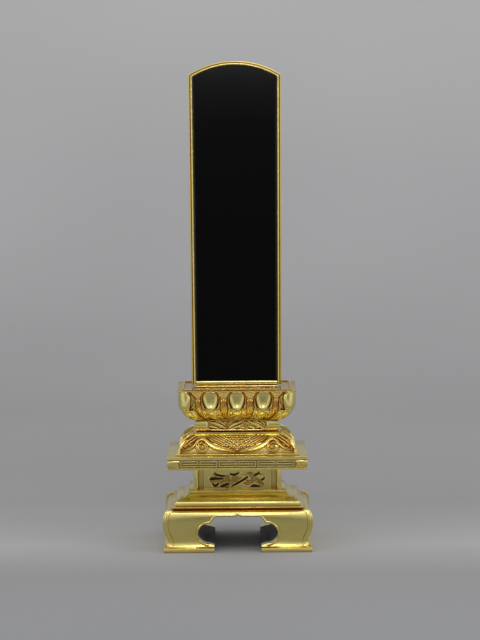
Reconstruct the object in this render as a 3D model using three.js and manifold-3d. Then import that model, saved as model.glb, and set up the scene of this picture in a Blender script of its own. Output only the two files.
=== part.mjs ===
// A Buddhist memorial tablet: a tall black lacquered board in a gilded rim, plugged by its tenon
// into a carved lotus seat, which stands on a gilded pedestal of stacked, moulded tiers with cat feet.
// Millimetres, +Z up, the front faces -Y, and the origin is the centre of the footprint on the floor.
import * as THREE from "three";
import { mergeVertices } from "three/addons/utils/BufferGeometryUtils.js";
import Module from "manifold-3d";

const wasm = await Module();
wasm.setup();

// Fits
const seam = 0.3;
const slideClearance = 0.4;

// Every tier is this much less deep than it is wide
const planDifference = 56;

// Cat-foot base
const baseWidth = 197;
const footPlinthHeight = 6;
const plinthStep = 2.4;
const apronHeight = 55.2;
const apronWaistInset = 6.7;
const apronWaistHeight = 14.7;
const apronBellyHeight = 37;
const apronTopInset = 9.6;
const apronBoardThickness = 17;
const cornerBandWidth = 4.6;
const archBandWidth = 2.2;
const bandRise = 1.3;

// Passage through the base, front to back
const passageTipHalf = 31.2;
const passageTipHeight = 8.6;
const lobeCentreHalf = 38.5;
const lobeCentreHeight = 25.2;
const lobeRadius = 14.3;
const archHalf = 27.5;
const archHeight = 48;
const archPeakHalf = 8;
const archPeakHeight = 51.4;

// Ledge, step and sill between the base and the waist
const coreRise = 1.5;
const bridgeRise = 0.5;
const ledgeWidth = 175.2;
const ledgeHeight = 2.5;
const stepWidth = 166.8;
const stepFilletHeight = 2.6;
const stepNosingHeight = 5.2;
const stepNosingInset = 4.8;
const stepHeight = 14.7;
const stepTopWidth = 131.6;
const sillWidth = 130.4;
const sillHeight = 3.3;

// Waist
const waistHeight = 33;
const waistCoreWidth = 104;
const waistPanelWidth = 90;
const waistSidePanelWidth = 40;
const waistPanelThickness = 3.2;
const panelFootHeight = 1.9;
const panelFootProud = 1;
const groundWidth = 80;
const sideGroundWidth = 34;
const groundThickness = 2;
const groundTopMargin = 7;
const postDiameter = 6.2;
const postInset = 3.2;
const waistWidth = 117.6;

// Table board with its fret band
const tableWidth = 186.2;
const tableHeight = 17.2;
const tableTopFillet = 4;
const tableBottomFillet = 2.6;
const tableBandSink = 2.4;
const tableRoundSegments = 6;
const fretEndMargin = 16.4;
const fretSink = 2.8;
const fretBacking = 1;
const fretRise = 1.4;
const fretLine = 1.5;
const fretUnitGap = 1.7;
const fretUnitsFront = 6;
const fretUnitsSide = 4;

// Roof-shaped tier
const roofPlateWidth = 165.2;
const roofPlateHeight = 2;
const roofWidth = 158.8;
const roofTopWidth = 117.2;
const roofHeight = 26.6;

// Neck under the lotus
const neckBlockWidth = 107.2;
const neckBlockBulge = 2.6;
const neckBlockHeight = 15.6;

// Lotus
const lotusWidth = 158.8;
const lotusBottomInset = 21;
const lotusHeight = 40.4;
const lotusCornerRadius = 9;
const petalThickness = 6.4;
const petalEdge = 1.2;
const petalsFront = 3;
const petalsSide = 2;
const petalPitch = 37.2;
const petalWidth = 25.4;
const sidePetalWidth = 19;
const cornerPetalWidth = 36;
const innerPetalThickness = 3.4;

// Seat: a plate with a rimmed tray in its top, and the mortise for the tablet's tenon
const seatPlateHeight = 1.6;
const seatRimWidth = 143;
const seatRimThickness = 2.4;
const seatRimRise = 1.2;
const trayDepth = 0.8;
const seatLetInWidth = 132;
const seatLetInDepth = 3.4;

// Tablet
const tabletFootWidth = 120.4;
const tabletShoulderWidth = 123;
const tabletShoulderHeight = 417.4;
const tabletArchRise = 18;
const tabletThickness = 18;
const archSteps = 16;
const boardThickness = 14;
const boardBevel = 2;
const boardFieldRise = 0.8;
const rimWidth = 5.6;
const rimLift = 3.4;
const footRailHeight = 5.2;
const footRailLetIn = 2;
const footRailProud = 3.4;
const footFilletHeight = 2.3;
const footFilletProud = 4.4;
const tenonWidth = 60;
const tenonThickness = 9;
const tenonLength = 24;

// Dowels that hold the tiers in line
const centreDowelDiameter = 14;
const sideDowelDiameter = 8;
const sideDowelSpacing = 64;
const dowelDepth = 12;
const dowelRest = 0.5;
const dowelSides = 16;

// Heights, stacked from the floor
const ledgeZ = apronHeight + coreRise;
const stepZ = ledgeZ + ledgeHeight;
const sillZ = stepZ + stepHeight;
const waistZ = sillZ + sillHeight;
const tableZ = waistZ + waistHeight;
const roofPlateZ = tableZ + tableHeight;
const roofZ = roofPlateZ + roofPlateHeight;
const neckZ = roofZ + roofHeight;
const lotusZ = neckZ + neckBlockHeight;
const lotusTopZ = lotusZ + lotusHeight;
const seatPlateTopZ = lotusTopZ + seatPlateHeight;
const trayZ = seatPlateTopZ - trayDepth;

const gold = new THREE.MeshStandardMaterial({ color: 0xc9a94e, roughness: 0.32, metalness: 1 });
const blackLacquer = new THREE.MeshStandardMaterial({ color: 0x08080a, roughness: 0.08, metalness: 0 });
const blackPaint = new THREE.MeshStandardMaterial({ color: 0x1c1c20, roughness: 0.5, metalness: 0 });
const bareWood = new THREE.MeshStandardMaterial({ color: 0xb08a5a, roughness: 0.7, metalness: 0 });

const depthOf = (width) => width - planDifference;

// A closed geometry as a solid, and back
function solidOf(geometry) {
  const plain = geometry.clone();
  plain.deleteAttribute("normal");
  plain.deleteAttribute("uv");
  const merged = mergeVertices(plain, 1e-4);
  return new wasm.Manifold(
    new wasm.Mesh({
      numProp: 3,
      vertProperties: new Float32Array(merged.attributes.position.array),
      triVerts: new Uint32Array(merged.index.array),
    }),
  );
}

function geometryOf(solid) {
  const mesh = solid.getMesh();
  const geometry = new THREE.BufferGeometry();
  geometry.setAttribute("position", new THREE.BufferAttribute(mesh.vertProperties, 3));
  geometry.setIndex(new THREE.BufferAttribute(mesh.triVerts, 1));
  const faceted = geometry.toNonIndexed();
  faceted.computeVertexNormals();
  return faceted;
}

const box = (width, depth, height, x, y, z) =>
  solidOf(new THREE.BoxGeometry(width, depth, height).translate(x, y, z + height / 2));

function cylinder(diameter, height, x, y, z, sides) {
  const geometry = new THREE.CylinderGeometry(diameter / 2, diameter / 2, height, sides);
  return solidOf(geometry.rotateX(Math.PI / 2).translate(x, y, z + height / 2));
}

// A shape drawn in plan, raised from z to z + height
const raised = (shape, z, height) =>
  solidOf(new THREE.ExtrudeGeometry(shape, { depth: height, bevelEnabled: false }).translate(0, 0, z));

// A shape drawn as seen from the front, running from y = front to y = back
function throughDepth(shape, front, back, curveSegments = 8) {
  const settings = { depth: back - front, bevelEnabled: false, curveSegments };
  const geometry = new THREE.ExtrudeGeometry(shape, settings);
  return solidOf(geometry.rotateX(Math.PI / 2).translate(0, back, 0));
}

// Rings of points, one above the other, joined by walls and closed at both ends by a fan
function loft(rings) {
  const count = rings[0].length;
  const positions = rings.flat();
  const faces = [];
  for (let r = 0; r + 1 < rings.length; r++) {
    for (let i = 0; i < count; i++) {
      const a = r * count + i;
      const b = r * count + ((i + 1) % count);
      faces.push(a, b, b + count, a, b + count, a + count);
    }
  }
  const top = (rings.length - 1) * count;
  for (let i = 1; i + 1 < count; i++) {
    faces.push(0, i + 1, i, top, top + i, top + i + 1);
  }
  const geometry = new THREE.BufferGeometry();
  geometry.setAttribute("position", new THREE.Float32BufferAttribute(positions.flat(), 3));
  geometry.setIndex(faces);
  return solidOf(geometry);
}

// A moulded block with mitred corners: its outline narrows by each profile point's inset
function mouldedBlock(width, profile, z) {
  const halfWidth = width / 2;
  const halfDepth = depthOf(width) / 2;
  const rings = profile.map(([inset, height]) => {
    const x = halfWidth - inset;
    const y = halfDepth - inset;
    return [[-x, -y, z + height], [x, -y, z + height], [x, y, z + height], [-x, y, z + height]];
  });
  return loft(rings);
}

const curvePoints = (points, count) =>
  new THREE.CubicBezierCurve(...points.map(([x, y]) => new THREE.Vector2(x, y)))
    .getPoints(count)
    .map((p) => [p.x, p.y]);

const group = new THREE.Group();
const centreDowel = { bottom: tableZ + tableHeight / 3, top: lotusZ + dowelDepth };
const sideDowel = { bottom: ledgeZ + dowelRest, top: tableZ + dowelDepth };
const dowels = [
  { name: "centre_dowel", diameter: centreDowelDiameter, x: 0, ...centreDowel },
  { name: "left_dowel", diameter: sideDowelDiameter, x: -sideDowelSpacing / 2, ...sideDowel },
  { name: "right_dowel", diameter: sideDowelDiameter, x: sideDowelSpacing / 2, ...sideDowel },
];

function addMesh(name, geometry, material) {
  const mesh = new THREE.Mesh(geometry, material);
  mesh.name = name;
  group.add(mesh);
}

const add = (name, solid, material) => addMesh(name, geometryOf(solid), material);

// A piece of the pedestal that the dowels may pass through
function addTier(name, solid, material) {
  let bored = solid;
  for (const dowel of dowels) {
    const length = dowel.top - dowel.bottom + 2 * seam;
    const bore = cylinder(dowel.diameter + 2 * seam, length, dowel.x, 0, dowel.bottom - seam, dowelSides);
    bored = bored.subtract(bore);
  }
  add(name, bored, material);
}

// The cat-foot profile as insets from the plinth, bottom to top
function apronProfile(grow) {
  const cove = curvePoints(
    [
      [plinthStep, footPlinthHeight],
      [plinthStep + 2.2, footPlinthHeight + 1.5],
      [apronWaistInset, apronWaistHeight - 3.5],
      [apronWaistInset, apronWaistHeight],
    ],
    3,
  );
  const rise = curvePoints(
    [
      [apronWaistInset, apronWaistHeight],
      [apronWaistInset, apronWaistHeight + 5],
      [0, apronBellyHeight - 9],
      [0, apronBellyHeight],
    ],
    5,
  );
  const shoulder = curvePoints(
    [
      [0, apronBellyHeight],
      [0, apronBellyHeight + 8.5],
      [2.5, apronHeight - 1.5],
      [apronTopInset, apronHeight],
    ],
    5,
  );
  const points = [[0, 0], [0, footPlinthHeight], ...cove, ...rise.slice(1), ...shoulder.slice(1)];
  return points.map(([inset, height]) => [inset - grow, height]);
}

// The opening under the apron: straight tips, round lobes, a cusp and an ogee arch
function passageShape(grow) {
  const shape = new THREE.Shape();
  const lobe = lobeRadius + grow;
  const cuspAngle = Math.acos(-0.16);
  const tip = passageTipHalf - grow;
  const peakHalf = archPeakHalf;
  const arch = archHeight + grow;
  shape.moveTo(-tip, -1);
  shape.lineTo(tip, -1);
  shape.lineTo(tip, passageTipHeight - grow);
  shape.lineTo(lobeCentreHalf, lobeCentreHeight - lobe);
  shape.absarc(lobeCentreHalf, lobeCentreHeight, lobe, -Math.PI / 2, cuspAngle, false);
  shape.quadraticCurveTo(archHalf + grow + 5.5, arch - 1.5, archHalf + grow, arch);
  shape.lineTo(peakHalf, arch);
  shape.quadraticCurveTo(1.5, arch, 0, archPeakHeight + grow);
  shape.quadraticCurveTo(-1.5, arch, -peakHalf, arch);
  shape.lineTo(-archHalf - grow, arch);
  const cuspX = -lobeCentreHalf - lobe * Math.cos(cuspAngle);
  const cuspZ = lobeCentreHeight + lobe * Math.sin(cuspAngle);
  shape.quadraticCurveTo(-archHalf - grow - 5.5, arch - 1.5, cuspX, cuspZ);
  shape.absarc(-lobeCentreHalf, lobeCentreHeight, lobe, Math.PI - cuspAngle, (3 * Math.PI) / 2, false);
  shape.lineTo(-tip, passageTipHeight - grow);
  return shape;
}

function buildBase() {
  const halfWidth = baseWidth / 2;
  const halfDepth = depthOf(baseWidth) / 2;
  const reach = 20;
  const body = mouldedBlock(baseWidth, apronProfile(0), 0);
  const grown = mouldedBlock(baseWidth, apronProfile(bandRise), 0);

  // Raised bands: one beside each corner, and one round the passage, above the plinth
  const aboveFeet = box(3 * baseWidth, 3 * baseWidth, apronHeight, 0, 0, footPlinthHeight + 1);
  const bandInset = 2 * (cornerBandWidth + apronWaistInset);
  const cornerBands = grown.subtract(
    mouldedBlock(baseWidth - 2 * cornerBandWidth, apronProfile(0), 0)
      .add(box(baseWidth - bandInset, 3 * baseWidth, apronHeight + 2, 0, 0, -1))
      .add(box(3 * baseWidth, depthOf(baseWidth) - bandInset, apronHeight + 2, 0, 0, -1)),
  );
  const passage = throughDepth(passageShape(0), -halfDepth - reach, halfDepth + reach);
  const archBand = throughDepth(passageShape(archBandWidth), -halfDepth - reach, halfDepth + reach);
  const bands = cornerBands.add(archBand.intersect(grown)).intersect(aboveFeet);
  const banded = body.add(bands);
  const opened = banded.subtract(passage);

  // Mitred boards round a core
  const innerX = halfWidth - apronBoardThickness;
  const innerY = halfDepth - apronBoardThickness;
  const mitre = (points) => {
    const shape = new THREE.Shape(points.map(([x, y]) => new THREE.Vector2(x, y)));
    return raised(shape, -1, apronHeight + 2);
  };
  const front = [
    [-halfWidth - reach + seam, -halfDepth - reach],
    [halfWidth + reach - seam, -halfDepth - reach],
    [innerX - seam, -innerY],
    [-innerX + seam, -innerY],
  ];
  const side = [
    [halfWidth + reach, -halfDepth - reach],
    [halfWidth + reach, halfDepth + reach],
    [innerX, innerY],
    [innerX, -innerY],
  ];
  const mirrorY = (points) => points.map(([x, y]) => [x, -y]).reverse();
  const mirrorX = (points) => points.map(([x, y]) => [-x, y]).reverse();
  addTier("front_apron", opened.intersect(mitre(front)), gold);
  addTier("rear_apron", opened.intersect(mitre(mirrorY(front))), gold);
  addTier("right_side_board", opened.intersect(mitre(side)), gold);
  addTier("left_side_board", opened.intersect(mitre(mirrorX(side))), gold);

  // Black core: a foot block each side of the passage, and a board over it
  const coreTop = archPeakHeight + bridgeRise;
  const coreX = innerX - seam;
  const coreY = innerY - seam;
  const footBlock = (sign) => {
    const from = passageTipHalf;
    const block = box(coreX - from, 2 * coreY, coreTop, (sign * (coreX + from)) / 2, 0, 0);
    return block.subtract(passage);
  };
  addTier("right_foot_block", footBlock(1), blackPaint);
  addTier("left_foot_block", footBlock(-1), blackPaint);
  addTier("bridge_board", box(2 * coreX, 2 * coreY, ledgeZ - coreTop, 0, 0, coreTop), blackPaint);
}

function buildSteps() {
  addTier("ledge_board", mouldedBlock(ledgeWidth, [[0, 0], [0, ledgeHeight]], ledgeZ), gold);
  const cove = curvePoints(
    [
      [stepNosingInset, stepFilletHeight + stepNosingHeight],
      [stepNosingInset + 5.5, stepFilletHeight + stepNosingHeight + 0.4],
      [(stepWidth - stepTopWidth) / 2 - 1, stepHeight - 4],
      [(stepWidth - stepTopWidth) / 2, stepHeight],
    ],
    6,
  );
  const nosing = curvePoints(
    [
      [0, stepFilletHeight],
      [0.2, stepFilletHeight + stepNosingHeight * 0.6],
      [stepNosingInset * 0.5, stepFilletHeight + stepNosingHeight],
      [stepNosingInset, stepFilletHeight + stepNosingHeight],
    ],
    4,
  );
  addTier("step_moulding", mouldedBlock(stepWidth, [[0, 0], ...nosing, ...cove.slice(1)], stepZ), gold);
  addTier("sill_board", mouldedBlock(sillWidth, [[0, 0], [0, sillHeight]], sillZ), gold);
}

// Slits of the openwork, drawn as the front shows them: across from the middle, up from the sill
const leftCloudSlits = [
  [[-31.4, 21.2], [-29.6, 22.2], [-24.4, 19.6], [-17.6, 18.4], [-18.2, 16.6], [-25.4, 17.6]],
  [[-37.2, 12.6], [-36.2, 15.2], [-29.4, 16], [-19.2, 15.2], [-19.6, 13.8], [-29, 14], [-34.8, 12.6]],
  [[-34.2, 8.4], [-32, 4.4], [-26.4, 5.6], [-25.2, 8.8], [-26.6, 8.8], [-28.2, 6.8], [-31, 6.6], [-32.6, 9]],
];
const middleCloudSlits = [
  [[-9.8, 19.4], [-4.8, 18.8], [0.6, 20.4], [2.4, 22], [0.4, 22.2], [-4.6, 20.4], [-9.4, 21]],
  [[-23.8, 4.2], [-18.6, 6.2], [-12.8, 8.6], [-10.6, 7.8], [-15.8, 4], [-20, 3.4]],
  [[-8.6, 3.8], [-2.6, 5.4], [3.8, 9.4], [12.8, 14.4], [13.8, 17], [11.4, 16.8], [3, 11.6], [-4.4, 7.6]],
];
const leafSlits = [
  [[22.6, 18.6], [26, 20], [29.8, 21.4], [28.2, 22.6], [24, 21.4], [21.2, 19.8]],
  [[32.8, 12], [36, 13.4], [36.8, 16.2], [35.2, 15.8], [34, 14.4], [31.6, 13.4]],
  [[17.6, 4.2], [21.6, 6.6], [27.4, 5.8], [31.6, 4], [26, 3.6]],
];

// A waist panel that stands upright, facing -Y, with its back at y = 0: a board with a fillet along its foot
function waistPanel(width, slits) {
  const footDepth = waistPanelThickness + panelFootProud;
  const foot = box(width, footDepth, panelFootHeight, 0, -footDepth / 2, 0);
  let panel = box(width, waistPanelThickness, waistHeight, 0, -waistPanelThickness / 2, 0).add(foot);
  for (const points of slits) {
    const slit = new THREE.Shape(points.map(([x, z]) => new THREE.Vector2(x, z)));
    panel = panel.subtract(throughDepth(slit, -footDepth - 1, 1));
  }
  return panel;
}

function buildWaist() {
  const coreDepth = depthOf(waistCoreWidth);
  const groundHeight = waistHeight - groundTopMargin - 2 * seam;
  const postX = waistWidth / 2 - postInset;
  const postY = depthOf(waistWidth) / 2 - postInset;
  for (const [name, x, y] of [
    ["front_left_post", -postX, -postY],
    ["front_right_post", postX, -postY],
    ["rear_left_post", -postX, postY],
    ["rear_right_post", postX, postY],
  ]) {
    add(name, cylinder(postDiameter, waistHeight, x, y, waistZ, 14), gold);
  }

  // Four sides: a panel before a black ground, which is let into the core
  let core = box(waistCoreWidth, coreDepth, waistHeight, 0, 0, waistZ);
  const frontSlits = [...leftCloudSlits, ...middleCloudSlits, ...leafSlits];
  const leafMiddle = (leafSlits[0][0][0] + leafSlits[1][0][0]) / 2;
  const sideSlits = leafSlits.map((points) => points.map(([x, z]) => [x - leafMiddle, z]));
  const wide = { reach: coreDepth / 2, width: waistPanelWidth, ground: groundWidth, slits: frontSlits };
  const narrow = {
    reach: waistCoreWidth / 2,
    width: waistSidePanelWidth,
    ground: sideGroundWidth,
    slits: sideSlits,
  };
  const recessDepth = groundThickness + 2 * seam;
  for (const side of [
    { name: "front", turn: 0, ...wide },
    { name: "right", turn: 90, ...narrow },
    { name: "rear", turn: 180, ...wide },
    { name: "left", turn: 270, ...narrow },
  ]) {
    const stand = (solid) => solid.translate([0, -side.reach, waistZ]).rotate([0, 0, side.turn]);
    const recess = box(side.ground + 2 * seam, 2 * recessDepth, groundHeight + 2 * seam, 0, 0, seam);
    const ground = box(side.ground, groundThickness, groundHeight, 0, recessDepth / 2, 2 * seam);
    core = core.subtract(stand(recess));
    add(`${side.name}_panel`, stand(waistPanel(side.width, side.slits)), gold);
    add(`${side.name}_ground`, stand(ground), blackPaint);
  }
  addTier("waist_core", core, gold);
}

// One unit of the key fret on its backing's face, in a cell that is width across and height up: an outer
// line that turns back along the middle. The mirrored unit runs the other way.
function fretUnit(width, height, mirrored) {
  const line = fretLine;
  const right = width - fretUnitGap / 2;
  const left = fretUnitGap / 2;
  const top = height - fretUnitGap / 2;
  const foot = fretUnitGap / 2;
  const middle = height / 2;
  const tongue = right - 2.6 * line;
  const points = [
    [left, foot],
    [right, foot],
    [right, top],
    [left, top],
    [left, middle - line / 2],
    [tongue, middle - line / 2],
    [tongue, middle + line / 2],
    [left + line, middle + line / 2],
    [left + line, top - line],
    [right - line, top - line],
    [right - line, foot + line],
    [left, foot + line],
  ];
  const drawn = mirrored ? points.map(([x, z]) => [width - x, z]).reverse() : points;
  return new THREE.Shape(drawn.map(([x, z]) => new THREE.Vector2(x, z)));
}

// A strip of fret that stands upright, facing -Y, with its back at y = 0 and its middle at x = 0
function fretStrip(length, height, units) {
  const cell = length / units;
  let strip = box(length, fretBacking, height, 0, -fretBacking / 2, 0);
  for (let i = 0; i < units; i++) {
    const unit = throughDepth(fretUnit(cell, height, i % 2 === 0), -fretBacking - fretRise, -fretBacking / 2);
    strip = strip.add(unit.translate([i * cell - length / 2, 0, 0]));
  }
  return strip;
}

function buildTable() {
  const bandTop = tableHeight - tableTopFillet;
  const bandHeight = bandTop - tableBottomFillet;
  const middle = (tableBottomFillet + bandTop) / 2;
  const round = [];
  for (let i = 0; i <= tableRoundSegments; i++) {
    const angle = -Math.PI / 2 + (Math.PI * i) / tableRoundSegments;
    round.push([tableBandSink * (1 - Math.cos(angle)), middle + (bandHeight / 2) * Math.sin(angle)]);
  }
  const profile = [[0, 0], [0, tableBottomFillet], ...round, [0, bandTop], [0, tableHeight]];
  let board = mouldedBlock(tableWidth, profile, tableZ);
  for (const side of [
    { name: "front", turn: 0, reach: depthOf(tableWidth) / 2, width: tableWidth, units: fretUnitsFront },
    { name: "right", turn: 90, reach: tableWidth / 2, width: depthOf(tableWidth), units: fretUnitsSide },
    { name: "rear", turn: 180, reach: depthOf(tableWidth) / 2, width: tableWidth, units: fretUnitsFront },
    { name: "left", turn: 270, reach: tableWidth / 2, width: depthOf(tableWidth), units: fretUnitsSide },
  ]) {
    const back = -side.reach + fretSink;
    const stand = (solid) => solid.translate([0, back, tableZ + tableBottomFillet]).rotate([0, 0, side.turn]);
    const length = side.width - 2 * fretEndMargin;
    board = board.subtract(stand(box(length, 2 * fretSink, bandHeight, 0, -fretSink, 0)));
    const strip = fretStrip(length - 2 * seam, bandHeight - 2 * seam, side.units);
    add(`${side.name}_fret`, stand(strip.translate([0, 0, seam])), gold);
  }
  addTier("table_board", board, gold);
}

function buildRoof() {
  addTier("roof_plate", mouldedBlock(roofPlateWidth, [[0, 0], [0, roofPlateHeight]], roofPlateZ), gold);
  const inset = (roofWidth - roofTopWidth) / 2;
  const profile = curvePoints(
    [
      [0, 0],
      [inset * 0.04, roofHeight * 0.46],
      [inset * 0.55, roofHeight * 0.88],
      [inset, roofHeight],
    ],
    8,
  );
  addTier("roof_block", mouldedBlock(roofWidth, profile, roofZ), gold);
  const neck = curvePoints(
    [
      [0, 0],
      [-neckBlockBulge * 1.3, neckBlockHeight * 0.3],
      [-neckBlockBulge * 1.3, neckBlockHeight * 0.7],
      [0, neckBlockHeight],
    ],
    8,
  );
  addTier("neck_block", mouldedBlock(neckBlockWidth, neck, neckZ), gold);
}

// The lotus outline is a rectangle with round corners. A place on it is the distance along its outer edge
// from the middle of the front, positive to the right, and it stays the same place at every inset.
const lotusFrontRun = lotusWidth / 2 - lotusCornerRadius;
const lotusSideRun = depthOf(lotusWidth) / 2 - lotusCornerRadius;
const lotusQuarter = (lotusCornerRadius * Math.PI) / 2;

function lotusPoint(place, inset, proud, z) {
  const radius = Math.max(lotusCornerRadius - inset / 2, 2);
  const x = lotusWidth / 2 - inset - radius;
  const y = depthOf(lotusWidth) / 2 - inset - radius;
  const sign = place < 0 ? -1 : 1;
  const distance = Math.abs(place);
  let tilt = 0;
  let across = 1;
  let back = 1;
  if (distance < lotusFrontRun) {
    across = distance / lotusFrontRun;
  } else if (distance < lotusFrontRun + lotusQuarter) {
    tilt = (distance - lotusFrontRun) / lotusCornerRadius;
  } else {
    tilt = Math.PI / 2;
    back = 1 - (distance - lotusFrontRun - lotusQuarter) / lotusSideRun;
  }
  const out = radius + proud;
  return [sign * (x * across + out * Math.sin(tilt)), -(y * back + out * Math.cos(tilt)), z];
}

function lotusRing(inset, z) {
  const front = [];
  const corner = lotusFrontRun + lotusQuarter / 2;
  for (let i = -4; i <= 3; i++) {
    const sign = i < 0 ? -1 : 1;
    const step = i < 0 ? -i - 1 : i;
    front.push(lotusPoint(sign * (lotusFrontRun + (lotusQuarter * step) / 3), inset, 0, z));
  }
  const rear = front.map(([x, y]) => [-x, -y, z]);
  return [...front, ...rear];
}

// The bowl's wall as insets from its widest outline, bottom to top, closer together towards the top
function bowlLevels() {
  const wall = new THREE.CubicBezierCurve(
    new THREE.Vector2(lotusBottomInset, 0),
    new THREE.Vector2(lotusBottomInset * 0.43, lotusHeight * 0.07),
    new THREE.Vector2(lotusBottomInset * 0.02, lotusHeight * 0.4),
    new THREE.Vector2(0, lotusHeight),
  );
  const count = 9;
  const levels = [];
  for (let i = 0; i <= count; i++) {
    const p = wall.getPoint(1 - Math.pow(1 - i / count, 1.35));
    levels.push([p.x, p.y]);
  }
  return levels;
}

// Half the width of an outer petal at a height up it from 0 to 1: wider at its foot and round at its head
function petalReach(width, up) {
  const foot = Math.max(0, 1 - up / 0.45);
  const head = Math.max(0, (up - 0.7) / 0.32);
  return (width / 2) * (1 + 0.2 * foot) * Math.sqrt(1 - Math.pow(head, 2.4));
}

// How far an outer petal's face stands out of the bowl, at a place across it from -1 to 1 and up it from
// 0 to 1: a smooth foot, and over it a boss, fullest low down, within a lip that flares towards the top
function petalRelief(across, up) {
  const side = Math.abs(across);
  const bossFoot = 0.4;
  const swell = petalThickness - petalEdge;
  const climb = (up - bossFoot) / (1 - bossFoot);
  const foot = 0.3 + 0.4 * Math.pow(up / bossFoot, 0.7);
  if (side > 0.99) return petalEdge;
  if (climb < 0) return petalEdge + swell * Math.sqrt(1 - side * side) * foot;
  if (side > 0.75 || up > 0.96) return petalEdge + swell * (0.55 + 0.45 * climb);
  if (side > 0.6) return petalEdge + swell * (0.3 + 0.35 * climb);
  return petalEdge + swell * Math.sqrt(1 - Math.pow(side / 0.66, 2)) * (1 - 0.3 * climb);
}

// An inner petal shows as one ridge between two outer petals
const innerRelief = (across) => innerPetalThickness - (innerPetalThickness - petalEdge) * Math.abs(across);

// A sheet on the bowl, from its foot to its top. span gives its two ends along the outline at a height
// from 0 to 1, and the rear half of the lotus is the front half turned round.
function lotusSheet(rear, span, columns, relief, clearance) {
  const levels = bowlLevels();
  const back = [];
  const face = [];
  const turned = rear ? -1 : 1;
  for (const [inset, height] of levels) {
    const up = height / lotusHeight;
    const [from, to] = span(up);
    for (const across of columns) {
      const place = from + ((to - from) * (across + 1)) / 2;
      const z = lotusZ + height;
      const [bx, by] = lotusPoint(place, inset + petalThickness, clearance, z);
      const [fx, fy] = lotusPoint(place, inset + petalThickness, relief(across, up), z);
      back.push([turned * bx, turned * by, z]);
      face.push([turned * fx, turned * fy, z]);
    }
  }
  return closedSheet(back, face, columns.length, levels.length);
}

// Two grids of points, back and face, joined round their edge into a closed solid
function closedSheet(back, face, columns, rows) {
  const offset = back.length;
  const faces = [];
  const quad = (a, b, c, d) => faces.push(a, b, c, a, c, d);
  for (let r = 0; r + 1 < rows; r++) {
    for (let c = 0; c + 1 < columns; c++) {
      const a = r * columns + c;
      quad(a, a + columns, a + columns + 1, a + 1);
      quad(offset + a, offset + a + 1, offset + a + columns + 1, offset + a + columns);
    }
  }
  const edge = [];
  for (let c = 0; c + 1 < columns; c++) edge.push([c, c + 1]);
  for (let r = 0; r + 1 < rows; r++) edge.push([r * columns + columns - 1, (r + 1) * columns + columns - 1]);
  for (let c = columns - 1; c > 0; c--) edge.push([(rows - 1) * columns + c, (rows - 1) * columns + c - 1]);
  for (let r = rows - 1; r > 0; r--) edge.push([r * columns, (r - 1) * columns]);
  for (const [a, b] of edge) quad(a, b, offset + b, offset + a);
  const geometry = new THREE.BufferGeometry();
  geometry.setAttribute("position", new THREE.Float32BufferAttribute([...back, ...face].flat(), 3));
  geometry.setIndex(faces);
  return solidOf(geometry);
}

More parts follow.
